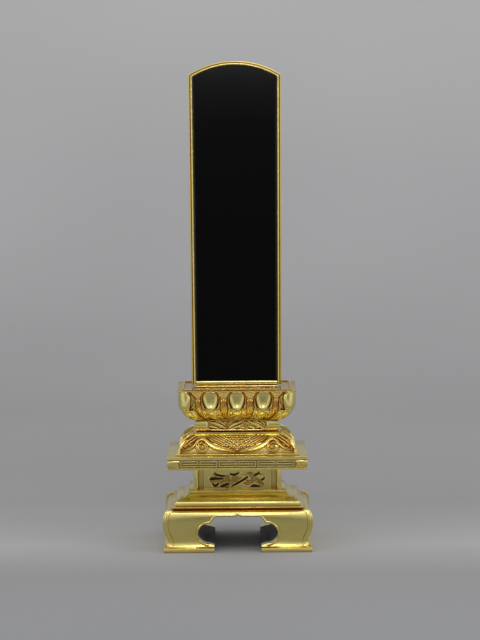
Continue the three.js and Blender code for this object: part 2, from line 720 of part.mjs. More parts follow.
function buildLotus() {
  const rings = bowlLevels().map(([inset, height]) => lotusRing(inset + petalThickness, lotusZ + height));
  let bowl = loft(rings);

  // Places of the outer petals round one half, which ends at the next half's first petal
  const corner = lotusFrontRun + lotusQuarter / 2;
  const sideMiddle = lotusFrontRun + lotusQuarter + lotusSideRun;
  const nextCorner = 2 * sideMiddle - corner;
  const sideGap = (nextCorner - corner - cornerPetalWidth - petalsSide * sidePetalWidth) / (petalsSide + 1);
  const firstSide = corner + (cornerPetalWidth + sidePetalWidth) / 2 + sideGap;
  const atCorner = (side, centre) => ({
    front: `front_${side}_corner_petal`,
    rear: `rear_${side}_corner_petal`,
    centre,
    width: cornerPetalWidth,
  });
  const half = [atCorner("left", -corner)];
  for (let i = 0; i < petalsFront; i++) {
    const centre = (i - (petalsFront - 1) / 2) * petalPitch;
    half.push({ front: `front_petal_${i + 1}`, rear: `rear_petal_${i + 1}`, centre, width: petalWidth });
  }
  half.push(atCorner("right", corner));
  for (let i = 0; i < petalsSide; i++) {
    const centre = firstSide + i * (sidePetalWidth + sideGap);
    half.push({ front: `right_petal_${i + 1}`, rear: `left_petal_${i + 1}`, centre, width: sidePetalWidth });
  }
  half.push({ centre: nextCorner, width: cornerPetalWidth });

  // Inner petals are carved on the bowl, and the outer ones lie on it between them
  const columns = [-1, -0.8, -0.62, -0.24, 0.24, 0.62, 0.8, 1];
  const cornerColumns = [-1, -0.8, -0.62, -0.4, -0.2, 0, 0.2, 0.4, 0.62, 0.8, 1];
  const outerPetals = [];
  for (const rear of [false, true]) {
    for (let i = 0; i + 1 < half.length; i++) {
      const petal = half[i];
      const next = half[i + 1];
      const outer = (up) => {
        const reach = petalReach(petal.width, up);
        return [petal.centre - reach, petal.centre + reach];
      };
      const between = (up) => [
        petal.centre + petalReach(petal.width, up) + 1.5 * seam,
        next.centre - petalReach(next.width, up) - 1.5 * seam,
      ];
      const across = Math.abs(petal.centre) === corner ? cornerColumns : columns;
      const name = rear ? petal.rear : petal.front;
      outerPetals.push({ name, solid: lotusSheet(rear, outer, across, petalRelief, seam) });
      bowl = bowl.add(lotusSheet(rear, between, [-1, 0, 1], innerRelief, -1));
    }
  }
  const mortise = box(
    tenonWidth + 2 * slideClearance,
    tenonThickness + 2 * slideClearance,
    tenonLength + seam + 2 * trayDepth,
    0,
    0,
    trayZ - tenonLength - seam,
  );
  const block = (width, bottom, top) => box(width, depthOf(width), top - bottom, 0, 0, bottom);
  const letIn = block(seatLetInWidth, lotusTopZ - seatLetInDepth, lotusTopZ + seam);
  const pocket = block(seatLetInWidth + 2 * seam, lotusTopZ - seatLetInDepth - seam, lotusTopZ + 1);
  addTier("lotus_bowl", bowl.subtract(mortise).subtract(pocket), gold);
  for (const outer of outerPetals) add(outer.name, outer.solid, gold);

  const rimTop = seatPlateTopZ + seatRimRise;
  const seat = letIn
    .add(block(lotusWidth, lotusTopZ, seatPlateTopZ))
    .add(block(seatRimWidth, lotusTopZ, rimTop))
    .subtract(block(seatRimWidth - 2 * seatRimThickness, trayZ, rimTop + 1))
    .subtract(mortise);
  add("seat_board", seat, gold);
}

// The tablet's outline at an inset from its outer edge
const tabletZ = trayZ;
const shoulderZ = tabletZ + tabletShoulderHeight;
const archRadius = (tabletShoulderWidth ** 2 / 4 + tabletArchRise ** 2) / (2 * tabletArchRise);
const archCentreZ = shoulderZ + tabletArchRise - archRadius;

function tabletShoulder(inset) {
  const x = tabletShoulderWidth / 2 - inset;
  const radius = archRadius - inset;
  return { x, radius, angle: Math.asin(x / radius), z: archCentreZ + Math.sqrt(radius * radius - x * x) };
}

function tabletShape(inset, foot) {
  const shoulder = tabletShoulder(inset);
  const footX = tabletFootWidth / 2 - inset;
  const shape = new THREE.Shape();
  shape.moveTo(-footX, foot);
  shape.lineTo(footX, foot);
  shape.lineTo(shoulder.x, shoulder.z);
  const upright = Math.PI / 2;
  shape.absarc(0, archCentreZ, shoulder.radius, upright - shoulder.angle, upright + shoulder.angle, false);
  return shape;
}

// The gilded rim's section: across from the outer edge, and forward from the tablet's back
function rimSection() {
  const bead = curvePoints(
    [
      [1.7, boardThickness + 1],
      [2, tabletThickness + 0.8],
      [rimWidth - 0.3, tabletThickness + 0.8],
      [rimWidth, boardThickness + 0.4],
    ],
    6,
  );
  return [[0, 0], [0, boardThickness - 1.2], [1, boardThickness + 0.6], ...bead, [rimWidth, 0]];
}

function buildTablet() {
  const backY = tabletThickness / 2;
  const faceY = backY - boardThickness;
  const notchHeight = rimLift + footRailHeight;
  const inRim = rimWidth + seam;
  const edge = throughDepth(tabletShape(inRim, tabletZ), faceY, backY, archSteps);
  const raisedField = tabletShape(inRim + boardBevel, tabletZ + notchHeight);
  const field = throughDepth(raisedField, faceY - boardFieldRise, faceY + 1, archSteps);
  const tenon = box(tenonWidth, tenonThickness, tenonLength + 2, 0, 0, tabletZ - tenonLength);
  const notchY = faceY + footRailLetIn - tabletThickness / 2;
  const notch = box(tabletFootWidth, tabletThickness, notchHeight, 0, notchY, tabletZ);
  add("tablet_board", edge.add(field).add(tenon).subtract(notch), blackLacquer);

  // Stiles end a little above the foot of the board, level with the foot rail
  const section = rimSection();
  const stile = (sign) => {
    const foot = [];
    const top = [];
    for (const [inset, forward] of section) {
      const shoulder = tabletShoulder(inset);
      const footX = tabletFootWidth / 2 - inset;
      const lifted = footX + ((shoulder.x - footX) * rimLift) / (shoulder.z - tabletZ);
      foot.push([sign * lifted, backY - forward, tabletZ + rimLift]);
      top.push([sign * shoulder.x, backY - forward, shoulder.z - seam]);
    }
    return sign > 0 ? loft([foot.reverse(), top.reverse()]) : loft([foot, top]);
  };
  add("left_rim", stile(-1), gold);
  add("right_rim", stile(1), gold);
  const rings = [];
  for (let i = 0; i <= archSteps; i++) {
    rings.push(
      section.map(([inset, forward]) => {
        const { radius, angle } = tabletShoulder(inset);
        const turned = angle * ((2 * i) / archSteps - 1);
        return [radius * Math.sin(turned), backY - forward, archCentreZ + radius * Math.cos(turned)];
      }),
    );
  }
  add("arched_rim", loft(rings), gold);

  // Foot rail and fillet, let into the board between the stiles
  const railWidth = tabletFootWidth - 2 * rimWidth - 2 * seam;
  const railBack = faceY + footRailLetIn - seam;
  const strip = (height, proud, z) => {
    const depth = footRailLetIn - seam + proud;
    return box(railWidth, depth, height, 0, railBack - depth / 2, z);
  };
  add("foot_rail", strip(footRailHeight - seam, footRailProud, tabletZ + rimLift), gold);
  add("foot_fillet", strip(footFilletHeight, footFilletProud, tabletZ), gold);
}

function buildDowels() {
  for (const dowel of dowels) {
    const length = dowel.top - dowel.bottom;
    add(dowel.name, cylinder(dowel.diameter, length, dowel.x, 0, dowel.bottom, dowelSides), bareWood);
  }
}

buildBase();
buildSteps();
buildWaist();
buildTable();
buildRoof();
buildLotus();
buildTablet();
buildDowels();

export default group;
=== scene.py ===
import bpy
import bmesh
import math
import numpy as np
from mathutils import Matrix, Vector


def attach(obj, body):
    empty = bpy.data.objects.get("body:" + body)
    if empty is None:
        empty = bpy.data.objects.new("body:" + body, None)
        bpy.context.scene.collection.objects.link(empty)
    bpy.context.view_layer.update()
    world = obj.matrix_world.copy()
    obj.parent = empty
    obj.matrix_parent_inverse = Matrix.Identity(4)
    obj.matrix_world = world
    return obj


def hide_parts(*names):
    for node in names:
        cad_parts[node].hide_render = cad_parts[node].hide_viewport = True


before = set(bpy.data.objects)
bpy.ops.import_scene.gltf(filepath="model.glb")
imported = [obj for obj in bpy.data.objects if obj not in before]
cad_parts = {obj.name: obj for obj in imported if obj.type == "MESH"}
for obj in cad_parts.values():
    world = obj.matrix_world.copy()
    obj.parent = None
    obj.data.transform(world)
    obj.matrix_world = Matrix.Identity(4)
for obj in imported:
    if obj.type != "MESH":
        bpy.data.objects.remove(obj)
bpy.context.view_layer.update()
bpy.ops.object.select_all(action="DESELECT")

# The camera stands level with the board's upper half, a little left of the middle, and looks down at the
# pedestal from far enough away that the uprights stay almost parallel.
lens_data = bpy.data.cameras.new("camera")
lens_data.lens = 112.5
lens_data.sensor_width = 36
lens_data.clip_start = 0.1
lens_data.clip_end = 60
camera = bpy.data.objects.new("camera", lens_data)
bpy.context.scene.collection.objects.link(camera)
yaw = math.radians(0.21)
pitch = math.radians(6.06)
roll = math.radians(-0.41)
ahead = Vector((math.sin(yaw) * math.cos(pitch), math.cos(yaw) * math.cos(pitch), -math.sin(pitch)))
level_right = Vector((math.cos(yaw), -math.sin(yaw), 0))
level_up = level_right.cross(ahead)
right = level_right * math.cos(roll) + level_up * math.sin(roll)
up = level_up * math.cos(roll) - level_right * math.sin(roll)
turn = Matrix((right, up, -ahead)).transposed().to_4x4()
camera_place = (-0.0048, -2.6735, 0.5865)
camera.matrix_world = Matrix.Translation(camera_place) @ turn
bpy.context.scene.camera = camera

# A pale grey cloth lies under the pedestal and hangs behind it: one sheet that sweeps up at the back without
# a fold, with broad soft changes of tone at random. Its grey is painted lighter in a band under the pedestal,
# a painted pool of light on the floor seen through the passage, and lighter up the sweep, painted light for
# the hanging part. Past its edges the camera alone sees a wide floor of the same grey, and from behind it
# looks through the cloth.
cloth_half_width = 4.5
cloth_front = -0.53
cloth_top = 4.2
sweep_start = 1.2
sweep_radius = 1.6
sweep_steps = 24
floor_size, floor_drop = 60, 0.0005
bpy.ops.mesh.primitive_plane_add(size=1, location=(0, 0, 0))
cloth = bpy.context.object
cloth.name = "cloth_backdrop"
cloth.scale = (2 * cloth_half_width, sweep_start - cloth_front, 1)
cloth.location = (0, (sweep_start + cloth_front) / 2, 0)
bpy.ops.object.transform_apply(location=True, rotation=True, scale=True)
bpy.ops.object.mode_set(mode="EDIT")
bpy.ops.mesh.select_all(action="DESELECT")
shell = bmesh.from_edit_mesh(cloth.data)
for edge in shell.edges:
    edge.select_set(all(abs(v.co.y - sweep_start) < 1e-4 for v in edge.verts))
bmesh.update_edit_mesh(cloth.data)
for i in range(sweep_steps):
    before = math.pi / 2 * i / sweep_steps
    after = math.pi / 2 * (i + 1) / sweep_steps
    rise = sweep_radius * (math.cos(before) - math.cos(after))
    run = sweep_radius * (math.sin(after) - math.sin(before))
    bpy.ops.mesh.extrude_region_move(TRANSFORM_OT_translate={"value": (0, run, rise)})
bpy.ops.mesh.extrude_region_move(TRANSFORM_OT_translate={"value": (0, 0, cloth_top - sweep_radius)})
bpy.ops.object.mode_set(mode="OBJECT")
bpy.ops.object.shade_smooth()
bpy.ops.mesh.primitive_plane_add(size=floor_size, location=(0, 0, -floor_drop))
floor = bpy.context.object
floor.name = "wide_floor"
for rays in ("diffuse", "glossy", "transmission", "shadow"):
    setattr(floor, f"visible_{rays}", False)


def set_inputs(node, values):
    """Puts plain values on a node's inputs."""
    for key, value in values.items():
        node.inputs[key].default_value = value


def add_node(tree, kind, values=None, **settings):
    """A new node with these settings, and with plain values on its inputs."""
    node = tree.nodes.new(kind)
    for key, setting in settings.items():
        setattr(node, key, setting)
    set_inputs(node, values or {})
    return node


def new_material(name, values):
    """A new material with plain values on its shader's inputs, with its node tree and its shader."""
    made = bpy.data.materials.new(name)
    made.use_nodes = True
    shader = made.node_tree.nodes["Principled BSDF"]
    set_inputs(shader, values)
    return made, made.node_tree, shader


def colour_ramp(tree, first, last, start=0, end=1):
    """A ramp from one colour to another."""
    node = tree.nodes.new("ShaderNodeValToRGB")
    for stop, position, colour in zip(node.color_ramp.elements, (start, end), (first, last)):
        stop.position = position
        stop.color = (*colour, 1)
    return node


def link(tree, *lines):
    """Links nodes: each line gives a node and its output, then the node and the input that take it."""
    for source, output, target, entry in lines:
        tree.links.new(source.outputs[output], target.inputs[entry])


cloth_grey, tree, shader = new_material("cloth_grey", {"Roughness": 0.9, "Specular IOR Level": 0.2})
place = add_node(tree, "ShaderNodeTexCoord")
folds = add_node(tree, "ShaderNodeTexNoise", {"Scale": 1.3, "Detail": 1})
fold_range = add_node(tree, "ShaderNodeMapRange", {"To Min": 0.92, "To Max": 1.08})
apart = add_node(tree, "ShaderNodeSeparateXYZ")
away = add_node(tree, "ShaderNodeMapRange", {"From Min": -0.6, "From Max": 2.8})
# Painted light along the cloth's depth: a lighter band under the pedestal, and lighter up the sweep at the
# back.
grey_and_painted_light = colour_ramp(tree, (0.26, 0.265, 0.28), (0.58, 0.58, 0.58))
for position, tone in ((0.12, 0.27), (0.17, 0.36), (0.26, 0.29), (0.53, 0.345), (0.685, 0.38), (0.853, 0.45)):
    grey_and_painted_light.color_ramp.elements.new(position).color = (tone, tone, tone * 1.03, 1)
clouded = add_node(tree, "ShaderNodeMix", {"Factor": 1}, data_type="RGBA", blend_type="MULTIPLY")
rays = add_node(tree, "ShaderNodeLightPath")
sides = add_node(tree, "ShaderNodeNewGeometry")
seen_behind = add_node(tree, "ShaderNodeMath", operation="MULTIPLY")
clear = add_node(tree, "ShaderNodeBsdfTransparent")
one_way = add_node(tree, "ShaderNodeMixShader")
link(
    tree,
    (place, "Object", folds, "Vector"), (folds, "Fac", fold_range, "Value"),
    (place, "Object", apart, "Vector"), (apart, "Y", away, "Value"), (away, "Result", grey_and_painted_light, "Fac"),
    (grey_and_painted_light, "Color", clouded, "A"), (fold_range, "Result", clouded, "B"),
    (clouded, "Result", shader, "Base Color"),
    (rays, "Is Camera Ray", seen_behind, 0), (sides, "Backfacing", seen_behind, 1),
    (seen_behind, "Value", one_way, "Fac"), (shader, "BSDF", one_way, 1), (clear, "BSDF", one_way, 2),
    (one_way, "Shader", tree.nodes["Material Output"], "Surface"),
)
cloth.data.materials.append(cloth_grey)
floor.data.materials.append(cloth_grey)

# Light: a wide soft panel overhead towards the front, one panel each side and a small one high in front. The
# world round them is an even grey, with a dark band low in front that the lacquer and the gold mirror.
world = bpy.data.worlds.new("room")
bpy.context.scene.world = world
world.use_nodes = True
tree = world.node_tree
tree.nodes.clear()
lowest, highest = -0.2, 0.2
direction = add_node(tree, "ShaderNodeTexCoord")
parts = add_node(tree, "ShaderNodeSeparateXYZ")
level = add_node(tree, "ShaderNodeMapRange", {"From Min": lowest, "From Max": highest})
height = colour_ramp(tree, (0.7, 0.7, 0.7), (0.42, 0.42, 0.42))
for z, tone in ((-0.165, 0.7), (-0.145, 0.05), (-0.066, 0.05), (-0.007, 0.08), (0.0155, 0.24), (0.022, 0.6),
                (0.05, 0.4)):
    height.color_ramp.elements.new((z - lowest) / (highest - lowest)).color = (tone, tone, tone, 1)
facing = add_node(tree, "ShaderNodeMapRange",
                  {"From Min": -0.99, "From Max": -0.9, "To Min": 0, "To Max": 0.74})
brighter = add_node(tree, "ShaderNodeMath", operation="MAXIMUM")
grey = add_node(tree, "ShaderNodeCombineColor")
rays = add_node(tree, "ShaderNodeLightPath")
seen = add_node(tree, "ShaderNodeMix", data_type="RGBA")
seen.inputs["B"].default_value = (0.36, 0.36, 0.37, 1)
background = add_node(tree, "ShaderNodeBackground")
output = add_node(tree, "ShaderNodeOutputWorld")
link(
    tree,
    (direction, "Generated", parts, "Vector"), (parts, "Y", facing, "Value"),
    (parts, "Z", level, "Value"), (level, "Result", height, "Fac"),
    (facing, "Result", brighter, 0), (height, "Color", brighter, 1),
    *[(brighter, "Value", grey, channel) for channel in ("Red", "Green", "Blue")],
    (rays, "Is Camera Ray", seen, "Factor"), (grey, "Color", seen, "A"),
    (seen, "Result", background, "Color"), (background, "Background", output, "Surface"),
)


def soft_panel(name, size, place, aim, watts, tint):
    """A rectangular lamp that looks at a point."""
    data = bpy.data.lights.new(name, "AREA")
    data.shape = "RECTANGLE"
    data.size, data.size_y = size
    data.energy = watts
    data.color = tint
    lamp = bpy.data.objects.new(name, data)
    bpy.context.scene.collection.objects.link(lamp)
    lamp.location = place
    lamp.rotation_euler = (Vector(aim) - Vector(place)).to_track_quat("-Z", "Y").to_euler()


soft_panel("overhead_panel", (2.4, 1.2), (0.1, -0.2, 2.4), (0, 0, 0.2), 13, (1, 0.99, 0.96))
soft_panel("left_panel", (0.5, 0.9), (-2.0, -1.2, 1.1), (0, 0, 0.3), 5.5, (1, 0.99, 0.97))
soft_panel("right_panel", (0.5, 0.9), (2.1, -0.9, 1.2), (0, 0, 0.3), 8.5, (0.97, 0.98, 1))
soft_panel("front_panel", (0.45, 0.4), (0.15, -1.7, 2.2), (0, 0, 0.2), 6.5, (1, 0.99, 0.95))

# The base: four boards, mitred at the corners and cut to a cat foot's double curve, stand round a black core.
# The front and rear boards are sawn out to an ogee passage. Raised bands follow the corners and the passage,
# and all four boards are gilded.
plan_difference = 56
seam = 0.3
base_width = 197
apron_height = 55.2
apron_thickness = 17
plinth_height = 6
ankle_inset, ankle_height = 7.2, 14.7
belly_inset, belly_height = 0.8, 37
shoulder_inset = 9.6
corner_band, passage_band = 4.8, 2.9
band_rise, band_sunk = 2.07, 0.8


def bezier(points, count):
    """Places along a cubic curve through four control points."""
    a, b, c, d = (np.array(p, float) for p in points)
    t = np.linspace(0, 1, count + 1)[:, None]
    return (1 - t) ** 3 * a + 3 * (1 - t) ** 2 * t * b + 3 * (1 - t) * t * t * c + t**3 * d


def run_lengths(line):
    """The distance along a line at each of its points."""
    return np.concatenate([[0], np.cumsum(np.linalg.norm(np.diff(line, axis=0), axis=1))])


def unit_rows(vectors):
    """Each vector at length 1."""
    return vectors / np.linalg.norm(vectors, axis=1)[:, None]


def pick(piece):
    """Makes a piece the active one, and the only one selected."""
    bpy.ops.object.select_all(action="DESELECT")
    piece.select_set(True)
    bpy.context.view_layer.objects.active = piece


def block(name, width, depth, height, x, y, z):
    """A plain block standing on z, in millimetres."""
    bpy.ops.object.select_all(action="DESELECT")
    bpy.ops.mesh.primitive_cube_add(size=1, location=(x / 1000, y / 1000, (z + height / 2) / 1000))
    made = bpy.context.object
    made.name = name
    made.scale = (width / 1000, depth / 1000, height / 1000)
    bpy.ops.object.transform_apply(location=True, rotation=True, scale=True)
    return made


def moulded_block(name, width, profile, bottom):
    """A block with mitred corners: a slab extruded up the profile, each step drawn in by its inset."""
    half = [(width / 2 - inset, width / 2 - plan_difference / 2 - inset) for inset, _ in profile]
    heights = [step[1] for step in profile]
    first = heights[1] - heights[0]
    made = block(name, 2 * half[0][0], 2 * half[0][1], first, 0, 0, bottom + heights[0])
    bpy.ops.object.mode_set(mode="EDIT")
    shell = bmesh.from_edit_mesh(made.data)
    top = max(shell.faces, key=lambda face: face.calc_center_median().z)
    for face in shell.faces:
        face.select_set(face == top)
    bmesh.update_edit_mesh(made.data)
    for i in range(1, len(profile)):
        if i > 1:
            rise = (heights[i] - heights[i - 1]) / 1000
            bpy.ops.mesh.extrude_region_move(TRANSFORM_OT_translate={"value": (0, 0, rise)})
        drawn = (half[i][0] / half[i - 1][0], half[i][1] / half[i - 1][1], 1)
        bpy.ops.transform.resize(value=drawn, center_override=(0, 0, (bottom + heights[i]) / 1000))
    bpy.ops.object.mode_set(mode="OBJECT")
    return made


def finish_with(piece, kind, **settings):
    """Adds a modifier and applies it."""
    pick(piece)
    modifier = piece.modifiers.new(kind.lower(), kind)
    for key, value in settings.items():
        setattr(modifier, key, value)
    bpy.ops.object.modifier_apply(modifier=modifier.name)


def combine(piece, tool, operation="DIFFERENCE"):
    """Cuts a tool's shape out of a piece, or adds it, and uses the tool up."""
    finish_with(piece, "BOOLEAN", object=tool, operation=operation, solver="EXACT")
    bpy.data.objects.remove(tool)


def soften(piece, width, smooth=32):
    """Rounds the sharp edges by a width in millimetres and shades the rest smooth."""
    finish_with(piece, "BEVEL", width=width / 1000, segments=3, limit_method="ANGLE",
                angle_limit=math.radians(38), use_clamp_overlap=True)
    bpy.ops.object.shade_smooth_by_angle(angle=math.radians(smooth))


def cut_away(piece, point, normal):
    """Saws off what lies beyond a plane, and closes the cut."""
    pick(piece)
    bpy.ops.object.mode_set(mode="EDIT")
    bpy.ops.mesh.select_all(action="SELECT")
    place = [p / 1000 for p in point]
    bpy.ops.mesh.bisect(plane_co=place, plane_no=normal, use_fill=True, clear_outer=True)
    bpy.ops.object.mode_set(mode="OBJECT")


def face_outward(piece):
    """Turns the normals of a closed piece outward."""
    pick(piece)
    bpy.ops.object.mode_set(mode="EDIT")
    bpy.ops.mesh.select_all(action="SELECT")
    bpy.ops.mesh.normals_make_consistent(inside=False)
    bpy.ops.object.mode_set(mode="OBJECT")


def mesh_piece(name, points, faces, smooth):
    """A new piece from points in millimetres."""
    mesh = bpy.data.meshes.new(name)
    mesh.from_pydata((np.asarray(points, float) / 1000).tolist(), [], faces)
    mesh.update()
    made = bpy.data.objects.new(name, mesh)
    bpy.context.scene.collection.objects.link(made)
    pick(made)
    bpy.ops.object.shade_smooth_by_angle(angle=math.radians(smooth))
    return made


def ring_block(name, rings, smooth=50):
    """A closed block from rings of points, one above the other."""
    rows, count = rings.shape[:2]
    a = np.arange((rows - 1) * count).reshape(rows - 1, count)
    b = np.roll(a, -1, axis=1)
    walls = np.stack([a, b, b + count, a + count], axis=2).reshape(-1, 4)
    ends = [tuple(reversed(range(count))), tuple(range((rows - 1) * count, rows * count))]
    return mesh_piece(name, rings.reshape(-1, 3), walls.tolist() + ends, smooth)


def sawn_form(name, outline, near, far):
    """A flat form with this outline, as the front shows it, between two depths."""
    return ring_block(name, np.array([[(x, y, z) for x, z in outline] for y in (near, far)]))


def join_to(piece, others):
    """Joins other pieces to a piece."""
    pick(piece)
    for other in others:
        other.select_set(True)
    bpy.ops.object.join()


def turn_round(piece, degrees):
    """Turns a piece's mesh about the middle of the pedestal."""
    piece.data.transform(Matrix.Rotation(math.radians(degrees), 4, "Z"))


def turned_copy(piece, name, degrees):
    """A copy with its own mesh, turned about the middle of the pedestal."""
    copy = bpy.data.objects.new(name, piece.data.copy())
    bpy.context.scene.collection.objects.link(copy)
    turn_round(copy, degrees)
    return copy


def bead(name, path, normals, half_width):
    """A flattened half-round bead along a path of points on a surface with these outward normals."""
    across = unit_rows(np.cross(unit_rows(np.gradient(path, axis=0)), normals))
    widths = np.broadcast_to(half_width, len(path))
    section = []
    for a in np.linspace(0, math.pi, 13):
        section.append((math.copysign(abs(math.cos(a)) ** 0.75, math.cos(a)), abs(math.sin(a)) ** 0.6))
    section += [(-1, -band_sunk / band_rise), (1, -band_sunk / band_rise)]
    rings = [path + across * (widths * s[0])[:, None] + normals * band_rise * s[1] for s in section]
    made = ring_block(name, np.stack(rings, axis=1))
    face_outward(made)
    return made


cove = bezier([(2.4, plinth_height), (5.0, 6.4), (ankle_inset, 8.8), (ankle_inset, ankle_height)], 8)
calf = bezier([(ankle_inset, ankle_height), (ankle_inset, 19.7), (belly_inset, 28),
               (belly_inset, belly_height)], 14)
shoulder = bezier([(belly_inset, belly_height), (belly_inset, 49.5), (2.0, 54.9),
                   (shoulder_inset, apron_height)], 16)
plinth_nose = [(0.5, 0), (0, 0.5), (0, 5.2), (0.25, 5.75), (0.8, plinth_height), (2.0, plinth_height)]
apron_profile = np.array([*plinth_nose, *cove, *calf[1:], *shoulder[1:]])


def apron_slope(z):
    """Inset of the apron's face at a height, and its outward normal as (out, up)."""
    span = 0.6
    inset, ahead, behind = (
        np.interp(z + step, apron_profile[:, 1], apron_profile[:, 0]) for step in (0, span, -span))
    lean = (ahead - behind) / (2 * span)
    length = np.sqrt(1 + lean * lean)
    return inset, 1 / length, lean / length


# The passage's outline, half of it: a straight tip, a round lobe, a cusp and an ogee arch with a point
tip_half, tip_height = 31.2, 8.6
lobe_half, lobe_height, lobe_radius = 38.5, 25.2, 14.3
arch_half, arch_height = 27.5, 48
cusp = math.acos(-0.16)
turns = np.linspace(-math.pi / 2, cusp, 30)
lobe = np.stack([lobe_half + lobe_radius * np.cos(turns), lobe_height + lobe_radius * np.sin(turns)], axis=1)
haunch = bezier([lobe[-1], (arch_half + 4.6, arch_height - 1.1), (arch_half + 2.4, arch_height),
                 (arch_half, arch_height)], 8)
point = bezier([(8, arch_height), (3.4, arch_height), (1.2, arch_height + 0.4), (0, 50)], 10)
half_outline = np.concatenate([[(tip_half, -2), (tip_half, tip_height)], lobe, haunch[1:], point])
outline = np.concatenate([half_outline, (half_outline * (-1, 1))[::-1][1:]])

base = moulded_block("base_block", base_width, apron_profile, 0)
inner_x = base_width / 2 - apron_thickness
inner_y = inner_x - plan_difference / 2
mitre = plan_difference / 2 - seam / 2
apron_front = turned_copy(base, "apron_front", 0)
cut_away(apron_front, (0, -inner_y, 0), (0, 1, 0))
cut_away(apron_front, (mitre, 0, 0), (1, 1, 0))
cut_away(apron_front, (-mitre, 0, 0), (-1, 1, 0))
apron_side = turned_copy(base, "apron_right", 0)
cut_away(apron_side, (inner_x, 0, 0), (-1, 0, 0))
cut_away(apron_side, (mitre + seam, 0, 0), (-1, -1, 0))
cut_away(apron_side, (mitre + seam, 0, 0), (-1, 1, 0))
bpy.data.objects.remove(base)
saw = sawn_form("passage_saw", outline, -110, 110)
face_outward(saw)
combine(apron_front, saw)
soften(apron_front, 0.35)
soften(apron_side, 0.35)

# Its bands: one follows the passage from the plinth to a point at the arch's head, and one runs up each
# corner, wider at its foot
bead_foot, bead_point = 7.4, 2.6
corner_foot, corner_head = 6.6, 54.6
walk = outline[2:-2]
lengths = run_lengths(walk)
even = np.linspace(0, lengths[-1], 300)
walk = np.stack([np.interp(even, lengths, walk[:, 0]), np.interp(even, lengths, walk[:, 1])], axis=1)
heading = unit_rows(np.gradient(walk, axis=0))
walk = walk + np.stack([heading[:, 1], -heading[:, 0]], axis=1) * (passage_band / 2)
drawn_up = bead_point * np.exp(-np.abs(walk[:, 0]) / 1.3) * (walk[:, 1] > 40)
walk[:, 1] = np.maximum(walk[:, 1], bead_foot) + drawn_up
inset, out, lift = apron_slope(walk[:, 1])
front_y = base_width / 2 - plan_difference / 2
path = np.stack([walk[:, 0], -(front_y - inset), walk[:, 1]], axis=1)
normals = np.stack([0 * out, -out, lift], axis=1)
passage_bead = bead("passage_bead", path, normals, passage_band / 2)
heights = np.linspace(corner_foot, corner_head, 90)
inset, out, lift = apron_slope(heights)
widths = corner_band / 2 * (1 + 0.35 * np.clip((12 - heights) / 6, 0, 1))
corner_beads = []
for reach, face_y, side in ((base_width / 2, front_y, 0), (front_y, base_width / 2, 90)):
    for sign in (-1, 1):
        across = sign * (reach - inset - widths - 0.2)
        path = np.stack([across, -(face_y - inset), heights], axis=1)
        normals = np.stack([0 * out, -out, lift], axis=1)
        made = bead("corner_bead", path, normals, widths)
        turn_round(made, side)
        corner_beads.append(made)
join_to(apron_front, [passage_bead, *corner_beads[:2]])
join_to(apron_side, corner_beads[2:])
apron_rear = turned_copy(apron_front, "apron_rear", 180)
apron_left = turned_copy(apron_side, "apron_left", 180)

# Gold leaf over lacquered wood: a satin metal with small changes of tone and polish from one leaf to the next
# and a faint ripple from the lacquer below. Its hollows are painted darker and warmer: painted shade, with a
# painted reflection of the warm light the gold throws into them.
gold_leaf, tree, shader = new_material("gold_leaf",
                                       {"Metallic": 1, "Coat Weight": 0.3, "Coat Roughness": 0.2})
place = add_node(tree, "ShaderNodeTexCoord")
leaf_tone = add_node(tree, "ShaderNodeTexNoise", {"Scale": 38, "Detail": 3})
leaf_colour = colour_ramp(tree, (0.76, 0.635, 0.205), (0.84, 0.725, 0.26), 0.3, 0.75)
# Painted shade: ambient occlusion mixes a dark warm colour into the leaf in its hollows.
painted_hollow_shade = add_node(tree, "ShaderNodeAmbientOcclusion", {"Distance": 0.009}, samples=16, name="painted_hollow_shade")
painted_hollow_shade_range = add_node(tree, "ShaderNodeMapRange", {"From Min": 0.26, "From Max": 0.84}, name="painted_hollow_shade_range")
painted_hollow_shade_mix = add_node(tree, "ShaderNodeMix", data_type="RGBA", name="painted_hollow_shade_mix")
painted_hollow_shade_mix.inputs["A"].default_value = (0.46, 0.215, 0.018, 1)
polish = add_node(tree, "ShaderNodeTexNoise", {"Scale": 110, "Detail": 2})
polish_range = add_node(tree, "ShaderNodeMapRange", {"To Min": 0.2, "To Max": 0.29})
ripple = add_node(tree, "ShaderNodeBump", {"Strength": 0.012, "Distance": 0.0005})
link(
    tree,
    (place, "Object", leaf_tone, "Vector"), (leaf_tone, "Fac", leaf_colour, "Fac"),
    (painted_hollow_shade, "AO", painted_hollow_shade_range, "Value"), (painted_hollow_shade_range, "Result", painted_hollow_shade_mix, "Factor"),
    (leaf_colour, "Color", painted_hollow_shade_mix, "B"), (painted_hollow_shade_mix, "Result", shader, "Base Color"),
    (place, "Object", polish, "Vector"), (polish, "Fac", polish_range, "Value"),
    (polish_range, "Result", shader, "Roughness"),
    (polish, "Fac", ripple, "Height"), (ripple, "Normal", shader, "Normal"),
)


def leaf_variant(name, reach, spread, colour):
    """The same leaf with other painted hollow shade: its reach in metres, how open it may be, and its colour.
    """
    variant = gold_leaf.copy()
    variant.name = name
    nodes = variant.node_tree.nodes
    nodes["painted_hollow_shade"].inputs["Distance"].default_value = reach
    nodes["painted_hollow_shade_range"].inputs["From Max"].default_value = spread
    nodes["painted_hollow_shade_mix"].inputs["A"].default_value = (*colour, 1)
    return variant


def coat(piece, material):
    """Covers a piece with one material."""
    piece.data.materials.clear()
    piece.data.materials.append(material)


def gild(piece, node, body="pedestal", leaf=gold_leaf):
    """Gilds a finished piece and puts it in the place of its CAD node."""
    coat(piece, leaf)
    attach(piece, body)
    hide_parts(node)


gild(apron_front, "front_apron")
gild(apron_rear, "rear_apron")
gild(apron_side, "right_side_board")
gild(apron_left, "left_side_board")

